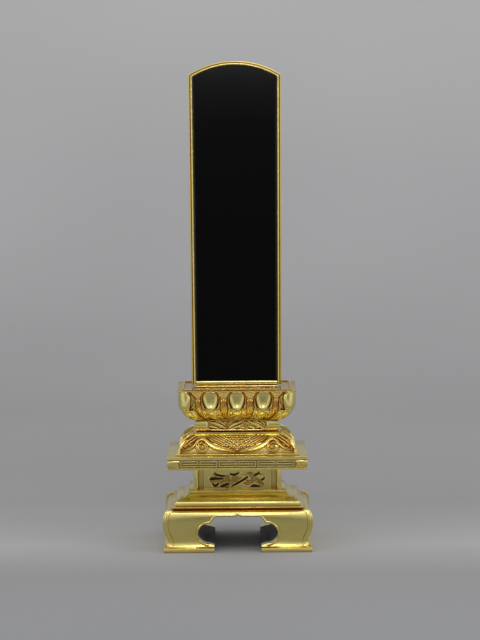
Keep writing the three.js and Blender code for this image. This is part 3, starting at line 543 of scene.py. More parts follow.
# The core of the base: a block of plain wood each side of the passage and a board over it, brushed with
# matt black lacquer. The grounds behind the openwork of the waist are the same lacquer painted dark brown: a
# painted reflection of the gold's warm light in the shade behind the slits.


def grained(name, values, texture, texture_values, first, last):
    """A material whose colour runs from one to another along a texture."""
    made, tree, shader = new_material(name, values)
    place = add_node(tree, "ShaderNodeTexCoord")
    grain = add_node(tree, texture, texture_values)
    shades = colour_ramp(tree, first, last)
    link(tree, (place, "Object", grain, "Vector"), (grain, 0, shades, "Fac"),
         (shades, "Color", shader, "Base Color"))
    return made


matt = {"Roughness": 0.6, "Specular IOR Level": 0.2}
brushing = {"Scale": 60, "Detail": 5}
black_paint = grained("black_paint", matt, "ShaderNodeTexNoise", brushing,
                      (0.05, 0.05, 0.053), (0.085, 0.084, 0.088))
# Painted reflection: the grounds' dark brown stands in for the gold's warm light behind the openwork.
ground_paint = grained("ground_paint", matt, "ShaderNodeTexNoise", brushing,
                       (0.07, 0.035, 0.016), (0.07, 0.035, 0.016))
for name in ("left_foot_block", "right_foot_block", "bridge_board"):
    coat(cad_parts[name], black_paint)
for name in ("front_ground", "rear_ground", "left_ground", "right_ground"):
    coat(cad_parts[name], ground_paint)

# Ledge, step and sill: three planed boards glued in a stack, the middle one moulded to a nosing and a cove
# that rises to the sill. All are gilded.
ledge_width, ledge_z = 175.2, 56.7
step_width, step_z = 166.8, 59.2
sill_width, sill_height, sill_z = 130.4, 3.3, 73.9
ledge = moulded_block("ledge", ledge_width, [(2.0, -1.2), (1.5, 0), (0.3, 1.2), (0, 1.7), (0, 2.5)], ledge_z)
nosing = bezier([(0, 0.9), (0, 6.4), (1.8, 7.3), (6, 8.0)], 12)
rise_cove = bezier([(6, 8.0), (10, 9.2), (15.4, 11.2), (17.6, 14.7)], 12)
step = moulded_block("step", step_width, [(0.4, 0), *nosing, *rise_cove[1:]], step_z)
sill = block("sill", sill_width, sill_width - plan_difference, sill_height, 0, 0, sill_z)
for piece, node, edge in (
    (ledge, "ledge_board", 0.25), (step, "step_moulding", 0.35), (sill, "sill_board", 0.5),
):
    soften(piece, edge)
    gild(piece, node)

# The waist: a solid core, whose gold shows only at the seams, with a thin turned post glued to each corner.
# The core keeps its plain shape.
waist_z = 77.2
waist_height = 33
post_radius, post_x, post_y = 3.1, 55.6, 27.6


def rod(name, radius, length, vertices, centre, lean=0):
    """A round rod about its centre, upright or leaning back by an angle, in millimetres."""
    bpy.ops.object.select_all(action="DESELECT")
    bpy.ops.mesh.primitive_cylinder_add(
        vertices=vertices, radius=radius / 1000, depth=length / 1000, rotation=(lean, 0, 0),
        location=[c / 1000 for c in centre])
    made = bpy.context.object
    made.name = name
    bpy.ops.object.transform_apply(location=True, rotation=True, scale=True)
    return made


for end, y in (("front", -post_y), ("rear", post_y)):
    for side, x in (("left", -post_x), ("right", post_x)):
        centre = (x, y, waist_z + waist_height / 2)
        post = rod(f"{end}_{side}_pillar", post_radius, waist_height, 32, centre)
        soften(post, 0.4)
        gild(post, f"{end}_{side}_post")
coat(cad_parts["waist_core"], gold_leaf)

# The table board carries a half-round band, with a sunk strip of key fret in the front, back and both ends.
# Each recess is cut into the band and ends in a small scoop.
table_z = 110.2
table_width = 186.2
table_height = 17.2
band_bottom, band_top, band_sink = 2.6, 13.2, 2.4
recess_depth, scoop_radius = 5.6, 2.4
front_recess, side_recess = (65.1, 76.7), (93.1, 48.7)
fret_sides = (
    ("front", 0, *front_recess, 6), ("right", 90, *side_recess, 4),
    ("rear", 180, *front_recess, 6), ("left", 270, *side_recess, 4),
)
middle = (band_bottom + band_top) / 2
round_band = [
    (band_sink * (1 - math.cos(a)), middle + (band_top - band_bottom) / 2 * math.sin(a))
    for a in np.linspace(-math.pi / 2, math.pi / 2, 19)
]
table = moulded_block(
    "table", table_width,
    [(0, 0), (0, band_bottom), *round_band, (0, band_top), (0, table_height)], table_z)
for _, turn_degrees, reach, slot, _ in fret_sides:
    cutter = block("fret_cutter", 2 * slot, recess_depth, band_top - band_bottom, 0, -reach,
                   table_z + band_bottom)
    scoops = [rod("scoop", scoop_radius, recess_depth, 20, (x, -reach, table_z + middle), math.pi / 2)
              for x in (-slot, slot)]
    for tool in (cutter, *scoops):
        turn_round(tool, turn_degrees)
        combine(table, tool)
soften(table, 0.35)
gild(table, "table_board")

# The key fret: a thin board with raised units, each a line that turns back along its own middle, and every
# second unit mirrored. It is gilded apart and glued into its recess.
fret_line = 1.35
fret_gap = 1.9
fret_rise = 2.6
fret_board = 0.5
# Painted shade: the fret's leaf is darker and browner between its raised lines.
fret_leaf = leaf_variant("fret_leaf", 0.005, 0.95, (0.2, 0.075, 0.005))


def fret_strip(name, length, units):
    """A strip of fret whose back is at y = 0 and whose foot is at z = 0."""
    cell = length / units
    height = band_top - band_bottom - 2 * seam
    strip = block(name, length, fret_board, height, 0, -fret_board / 2, 0)
    raised = []
    left = foot = fret_gap / 2
    right_edge, top = cell - fret_gap / 2, height - fret_gap / 2
    low, high = (height - fret_line) / 2, (height + fret_line) / 2
    tongue = right_edge - 2 * fret_line
    for i in range(units):
        drawn = np.array([
            (left, foot), (right_edge, foot), (right_edge, top), (left, top), (left, low), (tongue, low),
            (tongue, high), (left + fret_line, high), (left + fret_line, top - fret_line),
            (right_edge - fret_line, top - fret_line), (right_edge - fret_line, foot + fret_line),
            (left, foot + fret_line),
        ])
        if i % 2 == 0:
            drawn = (drawn * (-1, 1) + (cell, 0))[::-1]
        unit = sawn_form("fret_unit", drawn + (i * cell - length / 2, 0), -0.3, -fret_rise)
        soften(unit, 0.3, 60)
        raised.append(unit)
    join_to(strip, raised)
    return strip


def set_on_side(piece, reach, z, degrees, x=0):
    """Moves a piece out to the front at a height, and turns it round to its own side."""
    piece.data.transform(Matrix.Translation((x / 1000, -reach / 1000, z / 1000)))
    turn_round(piece, degrees)


for side, turn_degrees, reach, slot, units in fret_sides:
    strip = fret_strip(f"{side}_key_fret", 2 * slot - 2 * seam, units)
    set_on_side(strip, reach - recess_depth / 2, table_z + band_bottom + seam, turn_degrees)
    gild(strip, f"{side}_fret", leaf=fret_leaf)

# The waist panels: a thin board on each side of the core, with a fillet along its foot. The long ones are
# pierced and carved with a cloud scroll and leaves, the short ones with the leaves alone.
panel_thickness = 3.2
front_panel_reach, front_panel_width = 24, 90
side_panel_reach, side_panel_width = 52, 40
panel_foot_height, panel_foot_proud = 1.9, 1.0
trench_depth, patch_rise, slit_lip = 1.3, 0.9, 0.45
panel_grid = 0.36
cloud_slits = [
    [(-31.4, 22.2), (-30.2, 22.6), (-26.5, 20.4), (-21, 19.2), (-17, 18.8), (-16.8, 17.2),
     (-22.5, 17.4), (-28, 18.8)],
    [(-37.6, 13.6), (-36.6, 15.8), (-32, 16.4), (-24, 15.9), (-18.8, 15.4), (-19.8, 13.6),
     (-28, 13.4), (-33, 12.4)],
    [(-34.4, 8.6), (-32.6, 5), (-30, 3.6), (-26.2, 5.6), (-25, 9.4), (-26.8, 9), (-28.6, 7.2),
     (-31, 7), (-32.8, 9.2)],
    [(-10.2, 20.2), (-6, 18.6), (-1.5, 19.4), (1.6, 21.4), (2.8, 22.6), (0.8, 22.6), (-4, 20.9),
     (-9.4, 21.4)],
    [(-24, 4.4), (-20, 6.6), (-15.4, 8.2), (-11.4, 8.6), (-11.8, 7), (-15.8, 4.2), (-20, 3.2)],
    [(-9, 3.8), (-4, 5.2), (2.6, 8.4), (9.4, 12.4), (13.6, 15.6), (13.8, 17.8), (12, 17.2),
     (7.4, 14), (1, 10.4), (-4.6, 7.4)],
]
leaf_slits = [
    [(22.4, 18.2), (25.4, 18.6), (29, 20.8), (30, 22.2), (28.4, 22.8), (25, 21), (22, 19.6)],
    [(31.4, 12.4), (33.4, 11.8), (36, 13.4), (37, 16), (35.8, 16.6), (34.2, 14.6), (31.8, 13.8)],
    [(17.2, 4), (20.4, 6.2), (24, 6.6), (28, 5.2), (31.8, 4.2), (28, 3.2), (22, 3.2)],
]


def clamp(value):
    """Held between 0 and 1."""
    return np.clip(value, 0, 1)


def dome(share):
    """A round section: 1 in the middle, and 0 from a share of 1 outward."""
    return np.sqrt(clamp(1 - np.square(share)))


def taper(along, half_width):
    """Half width at each share of a line's length, from one number or from a list, start to end."""
    widths = np.atleast_1d(half_width).astype(float)
    return np.interp(along, np.linspace(0, 1, len(widths)), widths)


def smooth_line(points, steps=6, closed=False):
    """A curve through points."""
    p = np.array(points, float)
    if closed:
        p = np.concatenate([p[-1:], p, p[:2]])
    else:
        p = np.concatenate([2 * p[:1] - p[1:2], p, 2 * p[-1:] - p[-2:-1]])
    parts = []
    for a, b, c, d in zip(p[:-3], p[1:-2], p[2:-1], p[3:]):
        t = np.linspace(0, 1, steps, endpoint=False)[:, None]
        bend = 2 * a - 5 * b + 4 * c - d
        twist = 3 * b - a - 3 * c + d
        parts.append(0.5 * (2 * b + (c - a) * t + bend * t**2 + twist * t**3))
    if not closed:
        parts.append(p[-2:-1])
    return np.concatenate(parts)


def nearest(x, z, line):
    """How far each place is from a line, and how far along the line the nearest place lies, from 0 to 1."""
    starts = run_lengths(line)
    gap = np.full(x.shape, 1e9)
    along = np.zeros(x.shape)
    for a, b, start, step in zip(line[:-1], line[1:], starts, np.diff(starts)):
        if step < 1e-9:
            continue
        d = (b - a) / step
        t = np.clip((x - a[0]) * d[0] + (z - a[1]) * d[1], 0, step)
        found = np.hypot(x - a[0] - t * d[0], z - a[1] - t * d[1])
        near = found < gap
        gap = np.where(near, found, gap)
        along = np.where(near, start + t, along)
    return gap, along / starts[-1]


def within(x, z, outline):
    """Signed distance into a closed outline: positive inside."""
    closed = np.concatenate([outline, outline[:1]])
    gap, _ = nearest(x, z, closed)
    inside = np.zeros(x.shape, bool)
    for (ax, az), (bx, bz) in zip(closed[:-1], closed[1:]):
        if abs(bz - az) < 1e-9:
            continue
        crosses = (az > z) != (bz > z)
        inside ^= crosses & (x < (bx - ax) * (z - az) / (bz - az) + ax)
    return np.where(inside, gap, -gap)


def raise_line(field, x, z, points, half_width, rise, steps=6):
    """Carves a rounded ridge that follows a line."""
    gap, along = nearest(x, z, smooth_line(points, steps))
    return np.maximum(field, rise * dome(gap / taper(along, half_width)))


def spiral(centre, start, turns, degrees, inner, count=18):
    """Places along a curl that winds in clockwise towards its centre."""
    t = np.linspace(0, 1, count)
    radius = start * (1 - t) + inner * t
    angle = math.radians(degrees) - 2 * math.pi * turns * t
    return np.stack([centre[0] + radius * np.cos(angle), centre[1] + radius * np.sin(angle)], axis=1)


def grid_sheet(name, face, back, kept, smooth):
    """A closed sheet between two grids of points, its face and its back, cut away where kept is false."""
    offset = face.shape[0] * face.shape[1]
    index = np.arange(offset).reshape(face.shape[:2])
    corners = (index[:-1, :-1], index[:-1, 1:], index[1:, 1:], index[1:, :-1])
    front = np.stack([corner[kept] for corner in corners], axis=1)
    edges = np.concatenate([front[:, [i, (i + 1) % 4]] for i in range(4)])
    key = edges[:, 0] * offset + edges[:, 1]
    mirrored = edges[:, 1] * offset + edges[:, 0]
    rim = edges[~np.isin(key, mirrored)]
    walls = np.stack([rim[:, 1], rim[:, 0], rim[:, 0] + offset, rim[:, 1] + offset], axis=1)
    faces = np.concatenate([front, front[:, ::-1] + offset, walls])
    points = np.concatenate([face.reshape(-1, 3), back.reshape(-1, 3)])
    used = np.unique(faces)
    fresh = np.zeros(len(points), int)
    fresh[used] = np.arange(len(used))
    return mesh_piece(name, points[used], fresh[faces].tolist(), smooth)


def engraved(field, x, z, points, half_width):
    """A ridge with an engraved line along each side of it."""
    gap, along = nearest(x, z, smooth_line(points, 6))
    half = taper(along, half_width)
    cut = -trench_depth * dome((gap - half - 0.4) / 0.5)
    ridge = dome(gap / half) - 0.15
    return np.where(gap < half, np.maximum(ridge, np.minimum(field, ridge)), np.minimum(field, cut))


def panel_carving(x, z, slits):
    """The relief of the cloud scroll and the leaves, cut into the board's face between the slits."""
    field = np.zeros(x.shape)
    scroll = [
        ([(-36.2, 12.2), (-32, 12.7), (-25.4, 12.4)], [0.4, 0.7, 0.4]),
        ([(-34.6, 10.2), (-30, 10.4), (-25, 10)], [0.4, 0.8, 0.4]),
        ([(-31.8, 20.4), (-27, 17.8), (-21, 17.2), (-17, 16.6)], [0.4, 0.7, 0.4]),
        ([(-26, 3.6), (-23, 6.6), (-21.4, 8.6)], [0.4, 0.7, 0.4]),
        ([(-14.4, 2.8), (-10.4, 5.4), (-6.6, 8.4)], [0.4, 0.8, 0.5]),
        ([(-19, 8.6), (-14.8, 10.6), (-10, 11)], [0.4, 0.8, 0.4]),
        ([(-6, 8.4), (0, 11.4), (7, 15.6), (11.4, 18.6)], [0.4, 0.7, 0.4]),
        (spiral((-21.4, 11.4), 2.6, 1.3, 100, 0.5), 0.55),
        (spiral((-13.4, 15.4), 3.2, 1.4, 190, 0.5), 0.6),
        (spiral((-2.6, 13.6), 3.8, 1.5, 200, 0.5), 0.65),
    ]
    leaves = [
        ([(14.6, 21.6), (18, 18.6), (22.4, 14.4), (27.6, 9.8), (32.8, 4.8)], [0.5, 1.0, 1.1, 0.9, 0.4]),
        ([(29.4, 20.6), (25.6, 16.8), (21, 12.6), (16.4, 9.6)], [0.4, 1.0, 1.0, 0.4]),
        ([(17.4, 22.4), (20.8, 19.6), (23.6, 17)], [0.3, 0.6, 0.4]),
        ([(12.6, 11.6), (16.4, 10.6), (20, 9.4)], [0.3, 0.8, 0.4]),
        ([(9.6, 8.2), (13, 7.4), (17.4, 7.8)], [0.3, 0.8, 0.4]),
        ([(28.4, 11.6), (31, 9.4), (34, 6.6)], [0.3, 0.7, 0.3]),
    ]
    for points, widths in scroll + leaves:
        field = engraved(field, x, z, points, widths)
    cloud = [(3.4, 17.6), (5, 19.4), (9, 19.6), (12.6, 18.4), (12, 16), (7.6, 15)]
    lobe = [(26.6, 17), (29, 19.6), (32.6, 20), (34.6, 17.6), (33, 14.6), (29, 14)]
    for patch in (cloud, lobe):
        depth = within(x, z, smooth_line(patch, 6, closed=True))
        field = np.minimum(field, -patch_rise * clamp(1 - np.abs(depth + 0.4) / 0.5))
        field = np.where(depth > 0, np.maximum(field, patch_rise * dome(1 - clamp(depth / 2))), field)
    for cx, cz in ((11.4, 8.8), (16.6, 10.2), (13.8, 5.4), (8.4, 5.6), (30.2, 20.2)):
        field = field - patch_rise * clamp(1 - np.hypot(x - cx, z - cz) / 0.8)
    for slit in slits:
        gap = -within(x, z, smooth_line(slit, 5, closed=True))
        field = np.where(gap < 1.1, np.maximum(field, slit_lip * clamp((1.1 - gap) / 0.4)), field)
    return field


def waist_panel(name, width, slits, shift):
    """One panel, upright with its back at y = 0. shift brings the drawn pattern to its middle."""
    columns = int(round(width / panel_grid)) + 1
    rows = int(round(waist_height / panel_grid)) + 1
    x, z = np.meshgrid(np.linspace(-width / 2, width / 2, columns), np.linspace(0, waist_height, rows))
    outlines = [smooth_line([(px - shift, pz) for px, pz in slit], 5, closed=True) for slit in slits]
    into = np.max([within(x, z, line) for line in outlines], axis=0) + 0.35
    slope_z, slope_x = np.gradient(into, z[1, 0] - z[0, 0], x[0, 1] - x[0, 0])
    near = np.abs(into) < 0.75 * panel_grid
    near[[0, -1], :] = False
    near[:, [0, -1]] = False
    x = np.where(near, x - into * slope_x, x)
    z = np.where(near, z - into * slope_z, z)
    cells = (into[:-1, :-1] + into[1:, :-1] + into[:-1, 1:] + into[1:, 1:]) / 4
    relief = panel_carving(x + shift, z, slits)
    relief = np.where(np.abs(x) > width / 2 - 1, 0, relief)
    foot = panel_foot_proud * clamp((panel_foot_height + 0.2 - z) / 0.4)
    edge = 0.35 * clamp(1 - (width / 2 - np.abs(x)) / 0.5) ** 2
    face = np.stack([x, -(panel_thickness + relief + foot - edge), z], axis=2)
    return grid_sheet(name, face, face * (1, 0, 1), cells < 0, 40)


leaf_shift = (leaf_slits[0][0][0] + leaf_slits[1][0][0]) / 2
long_panel = (front_panel_reach, front_panel_width, cloud_slits + leaf_slits, 0)
short_panel = (side_panel_reach, side_panel_width, leaf_slits, leaf_shift)
for side, turn_degrees, (reach, width, slits, shift) in (
    ("front", 0, long_panel), ("right", 90, short_panel),
    ("rear", 180, long_panel), ("left", 270, short_panel),
):
    panel = waist_panel(f"{side}_openwork", width, slits, shift)
    set_on_side(panel, reach, waist_z, turn_degrees)
    gild(panel, f"{side}_panel")

# The roof-shaped tier rests on a thin plate. It is one carved block: a smooth band rolls over a scroll near
# each corner and runs down to a point in the middle, with spray and rows of scales above it, feathers at the
# corners and a punched ground.
roof_z = 129.4
roof_width, roof_top, roof_height = 158.8, 117.2, 26.6
roof_inset = (roof_width - roof_top) / 2
shelf_width, shelf_height, shelf_z = 165.2, 2, 127.4
roof_shelf = block("roof_shelf", shelf_width, shelf_width - plan_difference, shelf_height, 0, 0, shelf_z)
soften(roof_shelf, 0.5)
gild(roof_shelf, "roof_plate")


def along_profile(profile, spacing):
    """Places an even distance apart along a profile: their insets and heights, and the face's normal as
    (out, up)."""
    steps = run_lengths(profile)
    even = np.linspace(0, steps[-1], int(round(steps[-1] / spacing)) + 1)
    inset = np.interp(even, steps, profile[:, 0])
    rise = np.interp(even, steps, profile[:, 1])
    run = np.gradient(inset)
    climb = np.gradient(rise)
    length = np.hypot(run, climb)
    return inset, rise, climb / length, run / length


def carved_tier(name, width, profile, bottom, spacing, columns, relief):
    """A tier whose four faces are carved. relief gives how far a face stands out of the profile, from the
    distance across from its middle, the distance up as the front shows it, and its half length."""
    inset, rise, out, lift = along_profile(profile, spacing)
    view = math.radians(9.5)
    shown = rise * math.cos(view) + inset * math.sin(view)
    long_half, short_half = width / 2, width / 2 - plan_difference / 2
    sides = []
    for turn_degrees, half, across, count in (
        (0, long_half, short_half, columns[0]), (90, short_half, long_half, columns[1]),
        (180, long_half, short_half, columns[2]), (270, short_half, long_half, columns[1]),
    ):
        t = np.linspace(-1, 1, count, endpoint=False)[None, :]
        x = t * (half - inset)[:, None]
        up = np.broadcast_to(shown[:, None], x.shape)
        proud = relief(x, up, half) * clamp((1 - np.abs(t)) * half / 0.8)
        y = -(across - inset)[:, None] - proud * out[:, None]
        z = bottom + rise[:, None] + proud * lift[:, None]
        angle = math.radians(turn_degrees)
        sides.append(np.stack([x * math.cos(angle) - y * math.sin(angle),
                               x * math.sin(angle) + y * math.cos(angle), z], axis=2))
    return ring_block(name, np.concatenate(sides, axis=1))


# The roof's carving is drawn on a grid of about 0.058 mm, across from its left corner and down from its head.
grid_x, grid_z = 0.05789, 0.0579
grid_middle, grid_foot = 87.84, 590


def drawn_line(points):
    """Drawn places as millimetres across from the middle and up from the roof's foot."""
    return [(grid_x * px - grid_middle, (grid_foot - py) * grid_z) for px, py in points]


roof_band = drawn_line([
    (195, 520), (330, 492), (450, 445), (540, 372), (610, 285), (700, 240), (790, 275), (862, 345),
    (930, 385), (1020, 425), (1150, 462), (1280, 492), (1400, 522), (1517, 556),
])
roof_band_widths = [0.9, 1.4, 1.7, 1.8, 1.8, 1.7, 2.2, 3.0, 3.7, 3.7, 3.2, 2.5, 1.8, 1.0]
roof_scroll = drawn_line([(700, 410)])[0]
roof_feathers = [drawn_line(line) for line in (
    [(178, 492), (198, 400), (250, 312), (330, 228), (420, 168), (520, 122)],
    [(236, 474), (290, 382), (380, 292), (490, 212), (600, 150)],
    [(300, 470), (356, 400), (436, 325), (540, 250), (650, 180)],
    [(356, 462), (418, 405), (488, 350), (566, 290), (640, 225)],
)]
roof_spray = [drawn_line(line) for line in (
    [(800, 212), (880, 272), (960, 318)],
    [(790, 170), (900, 240), (1010, 300), (1120, 352)],
    [(800, 130), (930, 208), (1060, 282), (1190, 350), (1290, 400)],
    [(880, 122), (1010, 194), (1150, 270), (1280, 342), (1390, 420)],
    [(970, 118), (1090, 180), (1220, 250), (1350, 330), (1470, 430)],
    [(1060, 116), (1170, 168), (1300, 236), (1430, 312), (1517, 400)],
)]
roll_rise, feather_rise, spray_rise, scale_rise, punch_rise = 2.8, 2.6, 1.9, 1.8, 0.4
scale_pitch, scale_row = 3.5, 3.1
scroll_radius, scroll_boss = 7.3, 3.6
head_strip_z, head_strip_rise = 29.2, 2.0
carving_scale, carving_depth = 1.3, 2.65


def roof_relief(x, up, half):
    """The left half's carving, mirrored; a short face keeps the corner's scroll and narrows the middle."""
    place = np.abs(x)
    shift = roof_width / 2 - half
    if shift > 0:
        inner = 11
        place = np.where(place > inner, place + shift, place * (inner + shift) / inner)
    x = -place
    line = smooth_line(roof_band, 5)
    band_gap, band_along = nearest(x, up, line)
    band_half = taper(band_along, roof_band_widths)
    above = up > np.interp(x, line[:, 0], line[:, 1])
    punched = np.sin(x * 4.1 + np.sin(up * 2.3) * 2) * np.sin(up * 4.7 + np.sin(x * 2.9) * 2)
    field = np.where(above, 0.1, punch_rise * clamp(punched))
    for points in roof_spray:
        field = raise_line(field, x, up, points, [0.4, 0.85, 0.8], spray_rise, 4)
    middle = clamp((x + 31) / 10) * above
    for row in range(8):
        for column in range(9):
            cx = -0.3 - (column + (row % 2) / 2) * scale_pitch
            cz = 5.4 + row * scale_row + 0.3 * math.sin(column * 2.3 + row)
            if cx < -27 + 1.6 * row:
                continue
            dot = np.sqrt(np.maximum(0, 1 - ((x - cx) ** 2 + (up - cz) ** 2) / 1.7))
            field = np.maximum(field, (0.4 + scale_rise * dot) * middle * (dot > 0))
    for points in roof_feathers:
        field = raise_line(field, x, up, points, [0.6, 0.8, 0.8, 0.6], feather_rise, 4)
    for first, second in zip(roof_feathers[:-1], roof_feathers[1:]):
        a, b = smooth_line(first, 6), smooth_line(second, 6)
        for share in np.linspace(0.06, 0.92, 13):
            start = a[int(share * (len(a) - 1))]
            end = b[int(share * (len(b) - 1))]
            field = raise_line(field, x, up, [start, (start + end) / 2, end], 0.36, 1.1, 1)
    groove = clamp(1 - np.abs(band_gap - band_half - 0.5) / 0.6)
    field = field * (1 - 0.85 * groove)
    t = clamp(1 - band_gap / band_half)
    rolled = roll_rise * np.where(t < 0.3, dome(1 - t / 0.3), 1) - 1.5 * clamp((t - 0.3) / 0.4) ** 0.7
    field = np.where(band_gap < band_half, np.maximum(field, rolled), field)
    gap = np.hypot(x - roof_scroll[0], up - roof_scroll[1])
    ring = roll_rise * dome(gap - scroll_radius)
    boss = 0.9 * dome(gap / scroll_boss)
    low = (up < roof_scroll[1] + 5.6) | (gap < 6.4)
    field = np.where((gap < 8.6) & low, np.maximum(boss, ring), field)
    curl_gap, _ = nearest(x, up, spiral(roof_scroll, 5.6, 1.25, 150, 0.8, 26))
    field = np.where(gap < 6.4, np.maximum(field, feather_rise * dome(curl_gap / 0.75)), field)
    strip = head_strip_rise * clamp((up - head_strip_z) / 0.4)
    return carving_scale * (np.maximum(field, strip) - carving_depth)


roof_profile = bezier([(0, 0), (roof_inset * 0.04, roof_height * 0.46),
                       (roof_inset * 0.55, roof_height * 0.88), (roof_inset, roof_height)], 40)
roof = carved_tier("carved_roof", roof_width, roof_profile, roof_z, 0.44, (420, 190, 320), roof_relief)
gild(roof, "roof_block")

# The neck under the lotus: a rounded block, plain at its ends, with a sunk medallion of leaves in each face.
neck_z = 156
neck_width, neck_height, neck_bulge = 107.2, 15.6, 2.6
medallion_depth, medallion_rim = 2.8, 0.5


def leaf(field, x, z, start, bend, end, half_width, rise):
    """A pointed leaf with a vein and eight ribs."""
    gap, along = nearest(x, z, smooth_line([start, bend, end], 8))
    half = half_width * np.sqrt(clamp(np.sin(np.pi * clamp(along * 0.94 + 0.03))))
    t = clamp(1 - gap / np.maximum(half, 1e-3))
    shape = rise * dome(1 - t)
    shape = shape - 0.45 * clamp(1 - gap / 0.4) * (t > 0)
    shape = shape + 0.16 * np.cos(along * 2 * np.pi * 8 - gap * 2.4) * (t > 0.1)
    return np.where(t > 0, np.maximum(field, shape), field)


def neck_relief(x, up, half):
    """One medallion, fitted to the face's length."""
    x = x / max(half / (neck_width / 2), 0.62)
    outline = smooth_line([
        (-36, 2.2), (-39.4, 7.6), (-36, 13.4), (-12, 14.4), (12, 14.4), (36, 13.6), (39.8, 7.8), (36, 2.2),
        (12, 1.6), (-12, 1.6),
    ], 6, closed=True)
    depth = within(x, up, outline)
    field = np.zeros(x.shape)
    for start, bend, end, broad, rise in (
        ((-37, 11.8), (-28, 9.8), (-16, 3.2), 2.9, 2.9), ((-37, 7.0), (-32, 5), (-24, 2.6), 1.9, 2.4),
        ((-29, 13.4), (-22, 12.4), (-15.4, 7.4), 2.0, 2.5), ((-11.6, 2.8), (-3, 9), (9, 13.6), 2.7, 2.9),
        ((-8.6, 2.4), (0, 4.8), (9.4, 9.2), 2.0, 2.5), ((-11.8, 9), (-9.4, 12), (-3.6, 13.4), 1.6, 2.3),
        ((14.4, 13.4), (22, 9.8), (35.6, 2.8), 2.8, 2.9), ((14.2, 7), (17.4, 4.8), (24.4, 2.6), 1.9, 2.4),
        ((20.4, 13.8), (28, 11.6), (34, 8), 2.0, 2.5), ((31, 13.4), (35, 11), (37.8, 7), 1.6, 2.4),
    ):
        field = leaf(field, x, up, start, bend, end, broad, rise)
    field = raise_line(field, x, up, [(-13.3, 2), (-13.3, 8), (-13.3, 14)], 0.75, 2.6)
    field = raise_line(field, x, up, [(10.8, 13.8), (12.4, 10), (10.6, 6), (11.2, 2.4)], 0.8, 2.6)
    rim = medallion_rim * np.exp(-(((depth + 0.5) / 0.6) ** 2))
    sunk = -medallion_depth * clamp((depth - 0.1) / 0.6)
    return np.where(depth > 0.4, np.minimum(sunk + field, 0.2), sunk) + rim


neck_profile = bezier([(0, 0), (-neck_bulge * 1.3, neck_height * 0.3), (-neck_bulge * 1.3, neck_height * 0.7),
                       (0, neck_height)], 30)
neck = carved_tier("carved_neck", neck_width, neck_profile, neck_z, 0.34, (300, 160, 300), neck_relief)
gild(neck, "neck_block")

# The lotus: a carved bowl whose inner petals show between the fourteen outer ones laid on it. Each outer
# petal has a full smooth boss within a rolled lip, and is gilded with the rest.
lotus_z = 171.6
lotus_width, lotus_height, lotus_inset = 158.8, 40.4, 21
corner_radius = 9
petal_thickness, petal_edge = 6.4, 1.2
petal_pitch, petal_width, side_width, corner_width = 37.2, 25.4, 19, 36
front_run = lotus_width / 2 - corner_radius
side_run = lotus_width / 2 - plan_difference / 2 - corner_radius
quarter = corner_radius * math.pi / 2


def lotus_place(place, inset, proud, z):
    """Points on the lotus, from places along its outline, its inset, and how far they stand out of it."""
    place, inset, proud, z = np.broadcast_arrays(place, inset, proud, z)
    radius = np.maximum(corner_radius - inset / 2, 2)
    x = lotus_width / 2 - inset - radius
    y = lotus_width / 2 - plan_difference / 2 - inset - radius
    sign = np.where(place < 0, -1, 1)
    distance = np.abs(place)
    across = clamp(distance / front_run)
    tilt = np.clip((distance - front_run) / corner_radius, 0, math.pi / 2)
    back = np.clip(1 - (distance - front_run - quarter) / side_run, None, 1)
    out = radius + proud
    return np.stack([sign * (x * across + out * np.sin(tilt)), -(y * back + out * np.cos(tilt)), z], axis=-1)


bowl_profile = bezier([(lotus_inset, 0), (lotus_inset * 0.43, lotus_height * 0.07),
                       (lotus_inset * 0.02, lotus_height * 0.4), (0, lotus_height)], 60)


def petal_reach(width, up):
    """Half an outer petal's width at a height: wider at its foot and round at its head."""
    foot = np.maximum(0, 1 - up / 0.45)
    head = np.clip((up - 0.7) / 0.32, 0, 0.97)
    return width / 2 * (1 + 0.2 * foot) * np.sqrt(1 - head**2.4)


boss_spread = smooth_line([
    (0.365, 0.06), (0.385, 0.34), (0.41, 0.46), (0.45, 0.57), (0.5, 0.66), (0.56, 0.74), (0.63, 0.81),
    (0.71, 0.86), (0.8, 0.88), (0.87, 0.86), (0.93, 0.77), (0.98, 0.56), (1.02, 0.25),
], 6)
boss_height = smooth_line([
    (0.36, 2.8), (0.375, 6.6), (0.39, 8.5), (0.41, 9.5), (0.435, 9.9), (0.455, 9.8), (0.48, 9.2),
    (0.51, 8.2), (0.54, 7.2), (0.57, 6.4), (0.61, 5.6), (0.67, 4.8), (0.75, 4.2), (0.83, 3.7), (0.91, 3.2),
    (1.02, 2.6),
], 5)
corner_height = smooth_line([
    (0.32, 2.6), (0.36, 6.4), (0.42, 8.4), (0.46, 8.6), (0.5, 8.3), (0.6, 7.2), (0.7, 6.4), (0.83, 5.6),
    (1.02, 4.8),
], 6)
corner_spread = smooth_line([
    (0.33, 0.2), (0.36, 0.4), (0.42, 0.55), (0.5, 0.63), (0.6, 0.69), (0.7, 0.74), (0.8, 0.77),
    (0.92, 0.66), (0.98, 0.4), (1.02, 0.2),
], 6)
lip_line = smooth_line([
    (0, 0.99), (0.45, 0.975), (0.74, 0.93), (0.9, 0.85), (0.97, 0.74), (0.95, 0.62), (0.84, 0.52),
    (0.66, 0.44),
], 5)
strip_line = smooth_line([(0.92, 0.52), (0.88, 0.4), (0.93, 0.26), (1.02, 0.1), (1.08, -0.02)], 5)
strip_rise, stem_rise, corner_stem_rise = 3.0, 2.8, 5.6


